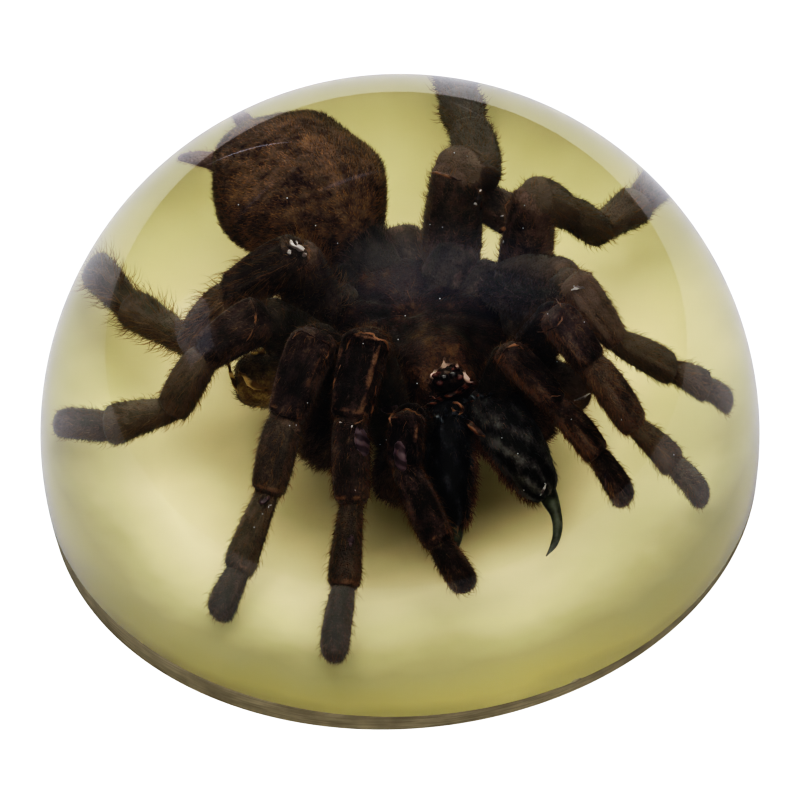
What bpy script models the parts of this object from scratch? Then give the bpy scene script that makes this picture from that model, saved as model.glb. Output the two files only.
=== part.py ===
"""A tarantula cast in a clear resin dome that stands on a pigmented resin layer.

Metres, +Z up. The origin is the centre of the flat underside, and the spider faces -Y.
Every resin piece is cut from one turned dome: the clear resin is parted in two at a level
plane through the spider, and the pigmented layer is what lies under a slightly tilted one.
The spider lies in a pocket that follows its body and limbs.
"""
import math

import bmesh
import bpy
from mathutils import Matrix, Vector

MM = 0.001

# Dome: a little more than half of a ball, ground flat underneath
BALL_RADIUS = 45.0 * MM
BALL_CENTRE_Z = 4.6 * MM
FOOT_RADIUS = 44.3 * MM          # flat underside, inside the worn lower edge
WORN_EDGE = 0.5 * MM             # height of the worn lower edge
DOME_STEPS = 44                  # facets round the dome
DOME_RINGS = 10                  # facets from the pole to the ball's widest ring
SEAM_WELD = 0.01 * MM            # points closer than this become one

# Layers
LAYER_HEIGHT = 3.0 * MM          # pigmented resin at the centre
LAYER_TILT_X = math.radians(0.5)  # the cast surface isn't parallel to the ground one
LAYER_TILT_Y = math.radians(2.0)
PARTING_Z = 16.0 * MM
SEAM_GAP = 0.3 * MM              # between neighbouring pieces of resin
POCKET_CLEARANCE = 0.5 * MM      # between the spider and the resin
CUTTER_SIZE = 3.0 * BALL_RADIUS  # side of the blocks that trim the layers
RESIN_CREASE = math.radians(30.0)  # edges sharper than this stay sharp
PILE_CREASE = math.radians(40.0)

# Spider, in world coordinates (mm)
BODY_CENTRE = (2.5, 0.2, 11.0)   # middle of the sternum
BODY_HEADING = -74.0             # degrees from +X, towards the fangs
LIMB_SIDES = 7
ROUND_FACETS = (14, 8)           # facets of a rounded form, round it and from pole to pole
POCKET_SIDES = 5
POCKET_FACETS = (10, 6)
POCKET_SWELL = 1.08              # of a rounded form, so that its pocket's flat facets clear it
JOINT_OVERLAP = 0.5 * MM         # how far a segment runs past its joint
END_BEVEL = 0.45                 # of the radius at a segment's far end
COXA_ALONG = 0.7                 # where a coxa starts under the body, as a share of its hip's
COXA_ASIDE = 0.3                 # distance from the sternum's middle, along the body and across it

# Rounded forms: centre, half sizes, heading and pitch in degrees
ROUND_FORMS = {
    "carapace": ((2.5, 0.2, 15.0), (10.4, 8.5, 4.0), BODY_HEADING, 3.0),
    "head": ((4.2, -5.7, 16.2), (4.9, 4.7, 3.4), BODY_HEADING, 0.0),
    "eye_mound": ((4.9, -8.0, 18.8), (1.5, 1.7, 1.2), BODY_HEADING, 0.0),
    "sternum": (BODY_CENTRE, (9.5, 8.6, 3.2), BODY_HEADING, 0.0),
    "abdomen": ((-6.7, 17.7, 16.5), (8.7, 7.1, 6.4), 128.0, 0.0),
}

# Straight forms: start, end, and the radius at each
STRAIGHT_FORMS = {
    "waist": ((0.4, 7.0, 15.0), (-2.6, 12.8, 16.4), 2.6, 3.2),
    "right_chelicera": ((4.6, -7.6, 16.0), (5.0, -17.8, 9.2), 2.8, 2.2),
    "left_chelicera": ((8.2, -8.0, 16.0), (13.0, -14.9, 9.6), 3.0, 2.4),
    "right_maxilla": ((2.4, -6.0, 11.5), (-1.1, -12.5, 10.0), 2.8, 2.6),
    "left_maxilla": ((6.8, -5.0, 11.5), (9.4, -8.5, 10.0), 2.6, 2.4),
    "right_trochanter_2": ((-3.5, -3.5, 11.5), (-7.3, -9.0, 10.4), 2.8, 2.3),
    "right_trochanter_3": ((-5.0, 1.0, 11.5), (-13.8, 1.2, 11.4), 2.8, 2.8),
    "right_spinneret": ((-12.0, 21.8, 14.8), (-15.8, 23.9, 14.2), 1.1, 0.7),
    "left_spinneret": ((-9.2, 23.6, 15.2), (-10.8, 27.6, 14.8), 1.1, 0.7),
}

# Fangs: points along the curve, and the radius at the root
FANGS = {
    "left_fang": (((12.6, -14.6, 9.8), (14.2, -16.8, 8.4), (14.4, -18.8, 7.0), (13.0, -20.2, 6.0)), 0.75),
    "right_fang": (((5.0, -17.0, 9.2), (5.4, -19.0, 8.0), (4.8, -19.4, 6.6), (3.6, -18.6, 5.8)), 0.75),
}
FANG_TAPER = 0.75                # of the root radius, lost at the tip

# Legs: hip, knee, and the ends of patella, tibia, metatarsus and tarsus
LEGS = {
    "right_leg_1": ((-0.9, -8.0, 12.5), (-2.4, -8.2, 25.2), (-4.7, -14.4, 21.0),
                    (-5.2, -19.9, 15.0), (-7.1, -26.4, 9.5), (-9.0, -34.8, 7.0)),
    "right_leg_2": ((-3.5, -4.1, 12.5), (-7.4, -7.2, 24.8), (-10.8, -13.0, 20.5),
                    (-13.4, -17.3, 15.0), (-17.2, -22.8, 9.5), (-19.9, -26.9, 7.0)),
    "right_leg_3": ((-4.8, 0.2, 12.5), (-11.9, -1.0, 22.0), (-17.6, -2.7, 19.6),
                    (-21.1, -3.7, 14.0), (-26.4, -0.8, 10.0), (-32.2, 2.4, 8.0)),
    "right_leg_4": ((-5.1, 4.7, 12.5), (-8.1, 4.2, 24.3), (-14.1, 4.1, 19.8),
                    (-17.4, 4.7, 12.8), (-21.3, 12.1, 10.0), (-22.9, 18.4, 8.0)),
    "left_leg_1": ((10.0, -3.9, 12.5), (16.4, -7.0, 25.6), (19.5, -10.4, 22.0),
                   (23.3, -13.1, 15.5), (27.0, -14.7, 11.0), (31.1, -18.2, 8.5)),
    "left_leg_2": ((9.8, 2.4, 12.5), (18.6, -2.0, 24.6), (22.0, -5.8, 20.0),
                   (26.3, -4.2, 14.0), (29.6, -3.3, 10.5), (32.1, -3.3, 8.0)),
    "left_leg_3": ((8.9, 5.2, 12.5), (14.3, 9.7, 23.8), (16.6, 10.4, 19.5),
                   (18.5, 11.7, 15.0), (20.8, 17.4, 11.0), (22.4, 21.5, 9.0)),
    "left_leg_4": ((4.9, 8.4, 12.5), (7.8, 12.0, 25.8), (9.9, 13.6, 21.8),
                   (8.5, 22.0, 16.0), (7.1, 26.6, 11.0), (6.1, 30.5, 8.0)),
}
LEG_RADII = (2.9, 2.7, 2.3, 1.9, 1.7, 1.7)   # at the same points
COXA_RADIUS = 2.8

# Palps have one segment fewer
PALPS = {
    "right_palp": ((2.2, -9.7, 13.0), (0.9, -14.0, 20.0), (0.2, -17.2, 16.5),
                   (3.0, -23.9, 12.0), (5.1, -26.9, 8.5)),
    "left_palp": ((8.0, -8.1, 13.0), (11.0, -8.6, 22.0), (15.1, -11.4, 17.5),
                  (18.6, -13.6, 12.5), (21.2, -16.7, 9.0)),
}
PALP_RADII = (1.8, 1.8, 1.8, 1.7, 1.6)


def clear_scene():
    """Remove the objects that the file opened with."""
    for old in list(bpy.data.objects):
        bpy.data.objects.remove(old, do_unlink=True)


def new_collection(name):
    """Add a collection to the scene."""
    group = bpy.data.collections.new(name)
    bpy.context.scene.collection.children.link(group)
    return group


def new_material(name, colour, roughness, alpha=1.0):
    """Add a Principled material, its colour in linear light."""
    mat = bpy.data.materials.new(name)
    mat.use_nodes = True
    shader = mat.node_tree.nodes["Principled BSDF"]
    shader.inputs["Base Color"].default_value = (*colour, 1.0)
    shader.inputs["Roughness"].default_value = roughness
    shader.inputs["Metallic"].default_value = 0.0
    shader.inputs["Alpha"].default_value = alpha
    return mat


def object_from_bmesh(name, bm, group):
    """Turn a bmesh into an object in the collection, with its normals outwards."""
    bmesh.ops.recalc_face_normals(bm, faces=bm.faces)
    mesh = bpy.data.meshes.new(name)
    bm.to_mesh(mesh)
    bm.free()
    obj = bpy.data.objects.new(name, mesh)
    group.objects.link(obj)
    return obj


def make_cutter(obj):
    """Show a cutter as wire, and keep it out of renders."""
    obj.hide_render = True
    obj.display_type = "WIRE"
    return obj


def boolean(obj, operation, other=None, group=None):
    """Add an exact Boolean modifier with one object or with a whole collection."""
    cut = obj.modifiers.new(operation.title(), "BOOLEAN")
    cut.operation = operation
    cut.solver = "EXACT"
    if group is None:
        cut.object = other
    else:
        cut.operand_type = "COLLECTION"
        cut.collection = group
    return cut


def apply_modifiers(obj):
    """Give the object the mesh that its modifiers make."""
    depsgraph = bpy.context.evaluated_depsgraph_get()
    mesh = bpy.data.meshes.new_from_object(obj.evaluated_get(depsgraph))
    obj.modifiers.clear()
    obj.data = mesh


# Resin

def dome_profile():
    """Half section of the dome, from the pole down its outer side to the axis."""
    low = math.asin((WORN_EDGE - BALL_CENTRE_Z) / BALL_RADIUS)
    angles = [math.pi / 2 * (1.0 - ring / DOME_RINGS) for ring in range(DOME_RINGS + 1)]
    points = []
    for angle in angles + [low]:
        points.append((BALL_RADIUS * math.cos(angle), BALL_CENTRE_Z + BALL_RADIUS * math.sin(angle)))
    points[0] = (0.0, points[0][1])
    points.append((FOOT_RADIUS, 0.0))
    points.append((0.0, 0.0))
    return points


def turned_dome(name, group):
    """The dome as one solid, turned from its half section."""
    bm = bmesh.new()
    corners = [bm.verts.new((x, 0.0, z)) for x, z in dome_profile()]
    for upper, lower in zip(corners, corners[1:]):
        bm.edges.new((upper, lower))
    mesh = bpy.data.meshes.new(name)
    bm.to_mesh(mesh)
    bm.free()
    obj = bpy.data.objects.new(name, mesh)
    group.objects.link(obj)
    screw = obj.modifiers.new("Turn", "SCREW")
    screw.steps = DOME_STEPS
    screw.render_steps = DOME_STEPS
    screw.use_merge_vertices = True
    screw.merge_threshold = SEAM_WELD
    apply_modifiers(obj)
    return obj


def half_space(name, group, height, side, tilt=(0.0, 0.0)):
    """Block that fills everything above (side +1) or below (side -1) a plane."""
    bm = bmesh.new()
    bmesh.ops.create_cube(bm, size=CUTTER_SIZE)
    bm.transform(Matrix.Translation((0.0, 0.0, side * CUTTER_SIZE / 2)))
    turn = Matrix.Rotation(tilt[0], 4, "X") @ Matrix.Rotation(tilt[1], 4, "Y")
    bm.transform(Matrix.Translation((0.0, 0.0, height)) @ turn)
    return make_cutter(object_from_bmesh(name, bm, group))


def resin_piece(name, group, cutters, material):
    """One piece of resin: what the cutters leave of the dome."""
    obj = turned_dome(name, group)
    for cutter in cutters:
        boolean(obj, "DIFFERENCE", other=cutter)
    obj.data.materials.append(material)
    obj.data.shade_smooth()
    obj.data.set_sharp_from_angle(angle=RESIN_CREASE)
    return obj


# Spider

def world(point):
    """A point in millimetres as a vector in metres."""
    return Vector(point) * MM


def segment(name, start, end, radii, group, clearance=0.0):
    """Tapered round bar with a bevelled far end; with a clearance, the pocket round that bar."""
    axis = end - start
    sides, around = LIMB_SIDES, 1.0
    if clearance:
        sides, around = POCKET_SIDES, 1.0 / math.cos(math.pi / POCKET_SIDES)
    bm = bmesh.new()
    bmesh.ops.create_cone(
        bm, cap_ends=True, segments=sides, depth=axis.length + 2 * (JOINT_OVERLAP + clearance),
        radius1=(radii[0] + clearance) * around, radius2=(radii[1] + clearance) * around)
    if not clearance:
        rim = [edge for edge in bm.edges if edge.verts[0].co.z > 0 and edge.verts[1].co.z > 0]
        bmesh.ops.bevel(bm, geom=rim, offset=END_BEVEL * radii[1], segments=1, affect="EDGES")
    turn = axis.to_track_quat("Z", "Y").to_matrix().to_4x4()
    bm.transform(Matrix.Translation((start + end) / 2) @ turn)
    return object_from_bmesh(name, bm, group)


def round_form(name, centre, half_sizes, heading, pitch, group, clearance=0.0):
    """Ellipsoid, or the pocket round it, whose coarser facets still clear it."""
    around, upright = POCKET_FACETS if clearance else ROUND_FACETS
    swell = POCKET_SWELL if clearance else 1.0
    bm = bmesh.new()
    bmesh.ops.create_uvsphere(bm, u_segments=around, v_segments=upright, radius=swell)
    sizes = [size * MM + clearance for size in half_sizes]
    turn = Matrix.Rotation(math.radians(heading), 4, "Z") @ Matrix.Rotation(math.radians(pitch), 4, "Y")
    bm.transform(Matrix.Translation(world(centre)) @ turn @ Matrix.Diagonal((*sizes, 1.0)))
    return object_from_bmesh(name, bm, group)


def coxa_root(hip):
    """Point under the body where a limb's coxa starts, level with its hip along the body."""
    turn = Matrix.Rotation(math.radians(BODY_HEADING), 3, "Z")
    centre = world(BODY_CENTRE)
    beside = turn.inverted() @ (hip - centre)
    return centre + turn @ Vector((beside.x * COXA_ALONG, beside.y * COXA_ASIDE, 0.0))


def limb(name, points, radii, group, clearance=0.0):
    """One limb: a coxa under the body, then a segment between each pair of joints."""
    joints = [world(point) for point in points]
    sizes = [radius * MM for radius in radii]
    segment(f"{name}_coxa", coxa_root(joints[0]), joints[0], (COXA_RADIUS * MM, sizes[0]), group, clearance)
    for number in range(1, len(joints)):
        segment(f"{name}_{number}", joints[number - 1], joints[number],
                (sizes[number - 1], sizes[number]), group, clearance)


def fang(name, points, root_radius, group):
    """Curved fang: a tube that tapers to a point."""
    curve = bpy.data.curves.new(name, "CURVE")
    curve.dimensions = "3D"
    curve.bevel_depth = root_radius
    curve.bevel_resolution = 1
    curve.use_fill_caps = True
    spline = curve.splines.new("POLY")
    spline.points.add(len(points) - 1)
    for number, point in enumerate(points):
        spline.points[number].co = (*point, 1.0)
        spline.points[number].radius = 1.0 - FANG_TAPER * number / (len(points) - 1)
    tube = bpy.data.objects.new(f"{name}_curve", curve)
    group.objects.link(tube)
    depsgraph = bpy.context.evaluated_depsgraph_get()
    mesh = bpy.data.meshes.new_from_object(tube.evaluated_get(depsgraph))
    bpy.data.objects.remove(tube, do_unlink=True)
    bm = bmesh.new()
    bm.from_mesh(mesh)
    bmesh.ops.remove_doubles(bm, verts=bm.verts, dist=SEAM_WELD)
    return object_from_bmesh(name, bm, group)


def fang_pocket(name, points, root_radius, group, clearance):
    """Pocket round a fang, in straight stretches."""
    for number in range(1, len(points)):
        radii = (root_radius, root_radius)
        segment(f"{name}_{number}", points[number - 1], points[number], radii, group, clearance)


def spider_pieces(group, clearance=0.0):
    """Every form of the spider, or of the pocket round it, as separate closed shapes."""
    for name, form in ROUND_FORMS.items():
        round_form(name, *form, group, clearance)
    for name, (start, end, first, last) in STRAIGHT_FORMS.items():
        segment(name, world(start), world(end), (first * MM, last * MM), group, clearance)
    for name, (points, root_radius) in FANGS.items():
        route = [world(point) for point in points]
        if clearance:
            fang_pocket(name, route, root_radius * MM, group, clearance)
        else:
            fang(name, route, root_radius * MM, group)
    for name, points in LEGS.items():
        limb(name, points, LEG_RADII, group, clearance)
    for name, points in PALPS.items():
        limb(name, points, PALP_RADII, group, clearance)


def united(name, group, clearance=0.0):
    """Unite the spider's forms, or the pocket's, into one closed body."""
    pieces = new_collection(f"{name} pieces")
    spider_pieces(pieces, clearance)
    first, *others = pieces.objects
    operands = new_collection(f"{name} operands")
    for piece in others:
        pieces.objects.unlink(piece)
        operands.objects.link(piece)
    boolean(first, "UNION", group=operands)
    apply_modifiers(first)
    mesh = first.data
    for piece in [first, *others]:
        bpy.data.objects.remove(piece, do_unlink=True)
    for used in (pieces, operands):
        bpy.data.collections.remove(used)
    obj = bpy.data.objects.new(name, mesh)
    group.objects.link(obj)
    return obj


def build():
    """Build the spider, the two halves of clear resin and the pigmented layer."""
    clear_scene()
    model = new_collection("tarantula in resin dome")
    cutters = new_collection("cutters")
    clear = new_material("clear cast resin", (0.93, 0.94, 0.88), 0.03, alpha=0.3)
    pigmented = new_material("pigmented cast resin", (0.66, 0.62, 0.36), 0.35)
    pile = new_material("dark brown pile", (0.030, 0.014, 0.008), 0.7)

    spider = united("tarantula", model)
    spider.data.materials.append(pile)
    spider.data.shade_smooth()
    spider.data.set_sharp_from_angle(angle=PILE_CREASE)

    pocket = make_cutter(united("pocket", cutters, POCKET_CLEARANCE))
    tilt = (LAYER_TILT_X, LAYER_TILT_Y)
    half_gap = SEAM_GAP / 2
    above_layer = half_space("above_layer", cutters, LAYER_HEIGHT - half_gap, 1, tilt)
    below_clear = half_space("below_clear", cutters, LAYER_HEIGHT + half_gap, -1, tilt)
    above_seam = half_space("above_seam", cutters, PARTING_Z - half_gap, 1)
    below_seam = half_space("below_seam", cutters, PARTING_Z + half_gap, -1)

    resin_piece("clear_dome_upper", model, (below_seam, pocket), clear)
    resin_piece("clear_dome_lower", model, (above_seam, below_clear, pocket), clear)
    resin_piece("base_layer", model, (above_layer,), pigmented)


build()
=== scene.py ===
"""Looks of a tarantula cast in a clear resin dome over a pigmented resin layer.

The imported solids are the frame. One clear piece stands for the two halves of the dome, one piece for the
pigmented layer, and the spider's solid is replaced by its jointed limbs, its body and the hair on them.
Everything is in metres, +Z up, and the spider faces -Y. The spider's own sizes are written in
millimetres and its angles in degrees.
"""
from __future__ import annotations

import logging
import math
from dataclasses import dataclass, field
from enum import Enum
from typing import Sequence

import bpy
import numpy as np
from bpy.types import ID, ColorManagedViewSettings, Material, Mesh, Node, NodeSocket, NodeTree, Object
from mathutils import Matrix, Vector, noise

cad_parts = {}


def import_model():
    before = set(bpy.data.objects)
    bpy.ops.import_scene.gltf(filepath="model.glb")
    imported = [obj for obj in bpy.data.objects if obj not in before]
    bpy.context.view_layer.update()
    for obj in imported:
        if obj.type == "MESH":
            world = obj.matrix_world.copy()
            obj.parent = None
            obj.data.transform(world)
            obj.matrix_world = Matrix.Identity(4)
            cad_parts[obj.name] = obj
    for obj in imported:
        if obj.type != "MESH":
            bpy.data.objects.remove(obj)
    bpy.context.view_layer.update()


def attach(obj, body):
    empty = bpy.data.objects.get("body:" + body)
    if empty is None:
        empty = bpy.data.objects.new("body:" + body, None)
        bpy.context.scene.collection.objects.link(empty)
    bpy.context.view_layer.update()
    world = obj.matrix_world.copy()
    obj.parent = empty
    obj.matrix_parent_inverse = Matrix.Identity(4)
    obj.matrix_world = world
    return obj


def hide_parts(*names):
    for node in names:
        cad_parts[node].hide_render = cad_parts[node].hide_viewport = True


MM = 0.001
BODY = "root"
BODY_HEADING = -74.0              # degrees from +X to where the fangs point
BODY_TURN = Matrix.Rotation(math.radians(BODY_HEADING), 3, "Z")
BODY_CENTRE = (2.5, 0.2, 11.0)    # middle of the sternum
UPWARDS = Vector((0.0, 0.0, 1.0))

# Inputs of a Mix node that mixes colours
MIX_FACTOR, MIX_A, MIX_B, MIX_RESULT = 0, 6, 7, 2

Point = tuple[float, float, float]
log = logging.getLogger("tarantula")


# ----------------------------------------
# Small tools
# ----------------------------------------

def linear(colour: str) -> tuple[float, float, float, float]:
    """Turn an sRGB hex colour to linear light.

    Args:
        colour: six hex digits after a hash sign.

    Returns:
        Red, green, blue and an alpha of one.
    """
    parts = [int(colour[start:start + 2], 16) / 255.0 for start in (1, 3, 5)]
    red, green, blue = (part / 12.92 if part <= 0.04045 else ((part + 0.055) / 1.055) ** 2.4
                        for part in parts)
    return red, green, blue, 1.0


def add_node(tree: NodeTree, kind: str, settings: dict | None = None, links: dict | None = None,
             stops: Sequence[tuple[float, str]] = (), **options: object) -> Node:
    """Add a node with its settings and its links.

    Args:
        tree: the node tree that it goes in.
        kind: the node's type.
        settings: values of its input sockets, by name or number.
        links: what feeds its inputs, by name or number: output sockets, or nodes for their first ones.
        stops: places and sRGB colours along a colour ramp.
        options: the node's own properties.

    Returns:
        The new node.
    """
    node = tree.nodes.new(kind)
    for key, value in options.items():
        setattr(node, key, value)
    for key, value in (settings or {}).items():
        node.inputs[key].default_value = value
    for key, source in (links or {}).items():
        socket = source.outputs[0] if isinstance(source, Node) else source
        tree.links.new(socket, node.inputs[key])
    if stops:
        ramp = node.color_ramp.elements
        while len(ramp) < len(stops):
            ramp.new(0.5)
        for element, (place, colour) in zip(ramp, stops):
            element.position = place
            element.color = linear(colour)
    return node


def smooth_step(low: float, high: float, values: np.ndarray) -> np.ndarray:
    """Rise smoothly from 0 at low to 1 at high."""
    share = np.clip((values - low) / (high - low), 0.0, 1.0)
    return share * share * (3.0 - 2.0 * share)


def ridge(values: np.ndarray, centre: float, width: float) -> np.ndarray:
    """A rounded ridge of height 1 at the centre, that fades over its width."""
    return np.exp(-((values - centre) / width) ** 2)


def rename(piece: Object, name: str) -> Object:
    """Name an object and its mesh."""
    piece.name = name
    piece.data.name = name
    return piece


def select(*pieces: Object) -> None:
    """Select these pieces alone, the first one active, or nothing at all before a new primitive."""
    if bpy.context.object and bpy.context.object.mode != "OBJECT":
        bpy.ops.object.mode_set(mode="OBJECT")
    bpy.ops.object.select_all(action="DESELECT")
    for piece in pieces:
        piece.select_set(True)
    if pieces:
        bpy.context.view_layer.objects.active = pieces[0]


def add_object(name: str, data: ID) -> Object:
    """Add an object to the scene, to show the data."""
    thing = bpy.data.objects.new(name, data)
    bpy.context.scene.collection.objects.link(thing)
    return thing


def face_outwards() -> None:
    """Turn all faces of the piece in edit mode outwards, and leave edit mode."""
    bpy.ops.mesh.select_all(action="SELECT")
    bpy.ops.mesh.normals_make_consistent(inside=False)
    bpy.ops.object.mode_set(mode="OBJECT")


def vertex_array(mesh: Mesh) -> np.ndarray:
    """The mesh's points as an array, one row each."""
    flat = np.empty(len(mesh.vertices) * 3)
    mesh.vertices.foreach_get("co", flat)
    return flat.reshape(-1, 3)


def normal_array(mesh: Mesh) -> np.ndarray:
    """The normals at the mesh's points, one row each."""
    flat = np.empty(len(mesh.vertices) * 3)
    mesh.vertex_normals.foreach_get("vector", flat)
    return flat.reshape(-1, 3)


def move_vertices(mesh: Mesh, places: np.ndarray) -> None:
    """Put the mesh's points where the array says."""
    mesh.vertices.foreach_set("co", places.astype(np.float32).ravel())
    mesh.update()


def set_attribute(mesh: Mesh, name: str, values: np.ndarray) -> None:
    """Keep a number or a direction for each point of the mesh.

    Args:
        mesh: the mesh.
        name: the attribute's name.
        values: one number or one row of three for each point.
    """
    vector = values.ndim == 2
    layer = mesh.attributes.get(name)
    if layer is None:
        layer = mesh.attributes.new(name, "FLOAT_VECTOR" if vector else "FLOAT", "POINT")
    layer.data.foreach_set("vector" if vector else "value", values.astype(np.float32).ravel())


def get_attribute(mesh: Mesh, name: str) -> np.ndarray:
    """Read back what set_attribute kept.

    Args:
        mesh: the mesh.
        name: the attribute's name.

    Returns:
        One number, or one row of three, for each point: zeros where the mesh lacks the attribute.
    """
    layer = mesh.attributes.get(name)
    count = len(mesh.vertices)
    if layer is None:
        return np.zeros(count)
    if layer.data_type == "FLOAT_VECTOR":
        flat = np.empty(count * 3, np.float32)
        layer.data.foreach_get("vector", flat)
        return flat.reshape(-1, 3).astype(float)
    flat = np.empty(count, np.float32)
    layer.data.foreach_get("value", flat)
    return flat.astype(float)


def add_shade(mesh: Mesh, change: float | np.ndarray) -> None:
    """Make the hair and skin paler by the change, or darker where it is below zero."""
    set_attribute(mesh, "shade", get_attribute(mesh, "shade") + change)


def subdivide(piece: Object, levels: int) -> None:
    """Round the piece with a Subdivision Surface, applied.

    Args:
        piece: the object to round.
        levels: how often each face is split.
    """
    select(piece)
    rounding = piece.modifiers.new("Rounding", "SUBSURF")
    rounding.levels = levels
    rounding.render_levels = levels
    bpy.ops.object.modifier_apply(modifier=rounding.name)


def settle(piece: Object, centre: Point, heading: float, pitch: float = 0.0) -> None:
    """Turn a piece modelled at the origin, put it in its place, and leave its object at the origin.

    Args:
        piece: the object, modelled in metres with its length along X.
        centre: where its middle goes, in millimetres.
        heading: degrees that it turns about Z.
        pitch: degrees that its front goes down.
    """
    turn = Matrix.Rotation(math.radians(heading), 4, "Z") @ Matrix.Rotation(math.radians(pitch), 4, "Y")
    piece.data.transform(Matrix.Translation(Vector(centre) * MM) @ turn)
    piece.data.update()


def join(name: str, pieces: Sequence[Object]) -> Object:
    """Join several objects into one.

    Args:
        name: the joined object's name.
        pieces: the objects, of which the first takes in the others.

    Returns:
        The joined object.
    """
    select(*pieces)
    if len(pieces) > 1:
        bpy.ops.object.join()
    return rename(pieces[0], name)


def add_to_object(piece: Object, slot: str, finishes: Sequence["Finish"], *nodes: str) -> None:
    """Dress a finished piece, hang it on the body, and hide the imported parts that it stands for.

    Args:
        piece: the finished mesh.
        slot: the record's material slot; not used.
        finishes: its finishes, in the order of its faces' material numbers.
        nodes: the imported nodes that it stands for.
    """
    for finish in finishes:
        piece.data.materials.append(finish.material())
    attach(piece, BODY)
    if nodes:
        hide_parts(*nodes)
    log.info("%s: %d faces", piece.name, len(piece.data.polygons))


def add_to_spider(piece: Object, finish: "Finish") -> None:
    """Dress a finished piece of the spider."""
    add_to_object(piece, "spider", (finish,), "tarantula")


# ----------------------------------------
# Finishes
# ----------------------------------------

@dataclass(frozen=True)
class Finish:
    """What all finishes share: how they shine, and a material that is made once."""

    name: str = "finish"
    roughness: float = 0.5
    gloss: float = 0.10              # specular level, 0.5 for a bare surface in air

    def material(self) -> Material:
        """The finish's material, made when it is first asked for.

        Returns:
            The material, dressed.
        """
        made = bpy.data.materials.get(self.name)
        if made is None:
            made = bpy.data.materials.new(self.name)
            made.use_nodes = True
            self.dress(made.node_tree, made.node_tree.nodes["Principled BSDF"])
        return made

    def dress(self, tree: NodeTree, shader: Node) -> None:
        """Set up the shader and what feeds it.

        Args:
            tree: the material's node tree.
            shader: its Principled shader.
        """
        raise NotImplementedError

    def surface(self, tree: NodeTree, shader: Node, colour: NodeSocket,
                normal: NodeSocket | None = None) -> None:
        """Give the shader its colour, relief, roughness and gloss.

        Args:
            tree: the material's node tree.
            shader: its Principled shader.
            colour: the colour over the surface.
            normal: the normal of its relief, where it has one.
        """
        tree.links.new(colour, shader.inputs["Base Color"])
        if normal:
            tree.links.new(normal, shader.inputs["Normal"])
        shader.inputs["Roughness"].default_value = self.roughness
        shader.inputs["Specular IOR Level"].default_value = self.gloss


@dataclass(frozen=True)
class ClearResin(Finish):
    """Polyester casting resin, cast in a polished mould: glass-clear, faintly straw-coloured in depth."""

    name: str = "clear casting resin, polished"
    roughness: float = 0.0
    ior: float = 1.50
    tint: str = "#EFE6A8"
    density: float = 5.0             # absorption per metre

    def dress(self, tree: NodeTree, shader: Node) -> None:
        """Plain transmission, with the tint in the volume.

        Args:
            tree: its node tree.
            shader: its shader.
        """
        shader.inputs["Base Color"].default_value = (1.0, 1.0, 1.0, 1.0)
        shader.inputs["Roughness"].default_value = self.roughness
        shader.inputs["IOR"].default_value = self.ior
        shader.inputs["Transmission Weight"].default_value = 1.0
        depth = add_node(tree, "ShaderNodeVolumeAbsorption",
                         {"Color": linear(self.tint), "Density": self.density})
        tree.links.new(depth.outputs["Volume"], tree.nodes["Material Output"].inputs["Volume"])


@dataclass(frozen=True)
class PigmentedResin(Finish):
    """Resin with pale yellow-green pigment, poured against the clear casting: smooth, with faint clouds.

    Its colour is painted by radius: darker in the middle as painted shadow under the spider, palest
    about 20 mm out as painted light where the dome gathers it, and darker and greener towards the rim as
    painted shade.
    """

    name: str = "pigmented casting resin"
    roughness: float = 0.6
    gloss: float = 0.0               # the clear resin on it bends light as much as it does
    # radius in millimetres and colour: the dark middle is painted shadow under the spider, the pale band
    # painted light, the dark rim painted shade
    rings: tuple[tuple[float, str], ...] = (
        (8.0, "#AAA283"), (12.0, "#B6AD8C"), (16.0, "#D3C8A2"), (20.0, "#E5D9B0"),
        (26.0, "#CFC79A"), (30.0, "#B1AA80"), (34.0, "#9E986F"), (38.0, "#9F9767"),
        (41.0, "#A09662"), (44.0, "#928958"))
    reach: float = 45.0              # radius in millimetres that the rings are counted to
    cloud: float = 14.0 * MM         # width of a cloud in the pigment
    cloud_depth: float = 0.05        # how far a cloud moves the rings' colours outwards or inwards

    def dress(self, tree: NodeTree, shader: Node) -> None:
        """Rings of pigment colour with painted light and shade, moved in and out by clouds.

        Args:
            tree: its node tree.
            shader: its shader.
        """
        here = add_node(tree, "ShaderNodeTexCoord").outputs["Object"]
        clouds = add_node(tree, "ShaderNodeTexNoise", {"Scale": 1.0 / self.cloud, "Detail": 3.0},
                          {"Vector": here})
        flat = add_node(tree, "ShaderNodeVectorMath", {1: (1.0, 1.0, 0.0)}, {0: here}, operation="MULTIPLY")
        reach = add_node(tree, "ShaderNodeVectorMath", None, {0: flat}, operation="LENGTH")
        cloudy = add_node(tree, "ShaderNodeMapRange", {"From Min": 0.3, "From Max": 0.7,
                           "To Min": -self.cloud_depth, "To Max": self.cloud_depth}, {"Value": clouds})
        out = add_node(tree, "ShaderNodeMath", {1: 1.0 / (self.reach * MM)},
                       {0: reach.outputs["Value"], 2: cloudy}, operation="MULTIPLY_ADD")
        tone = add_node(tree, "ShaderNodeValToRGB", None, {"Fac": out},
                        stops=[(radius / self.reach, colour) for radius, colour in self.rings])
        self.surface(tree, shader, tone.outputs["Color"])


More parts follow.
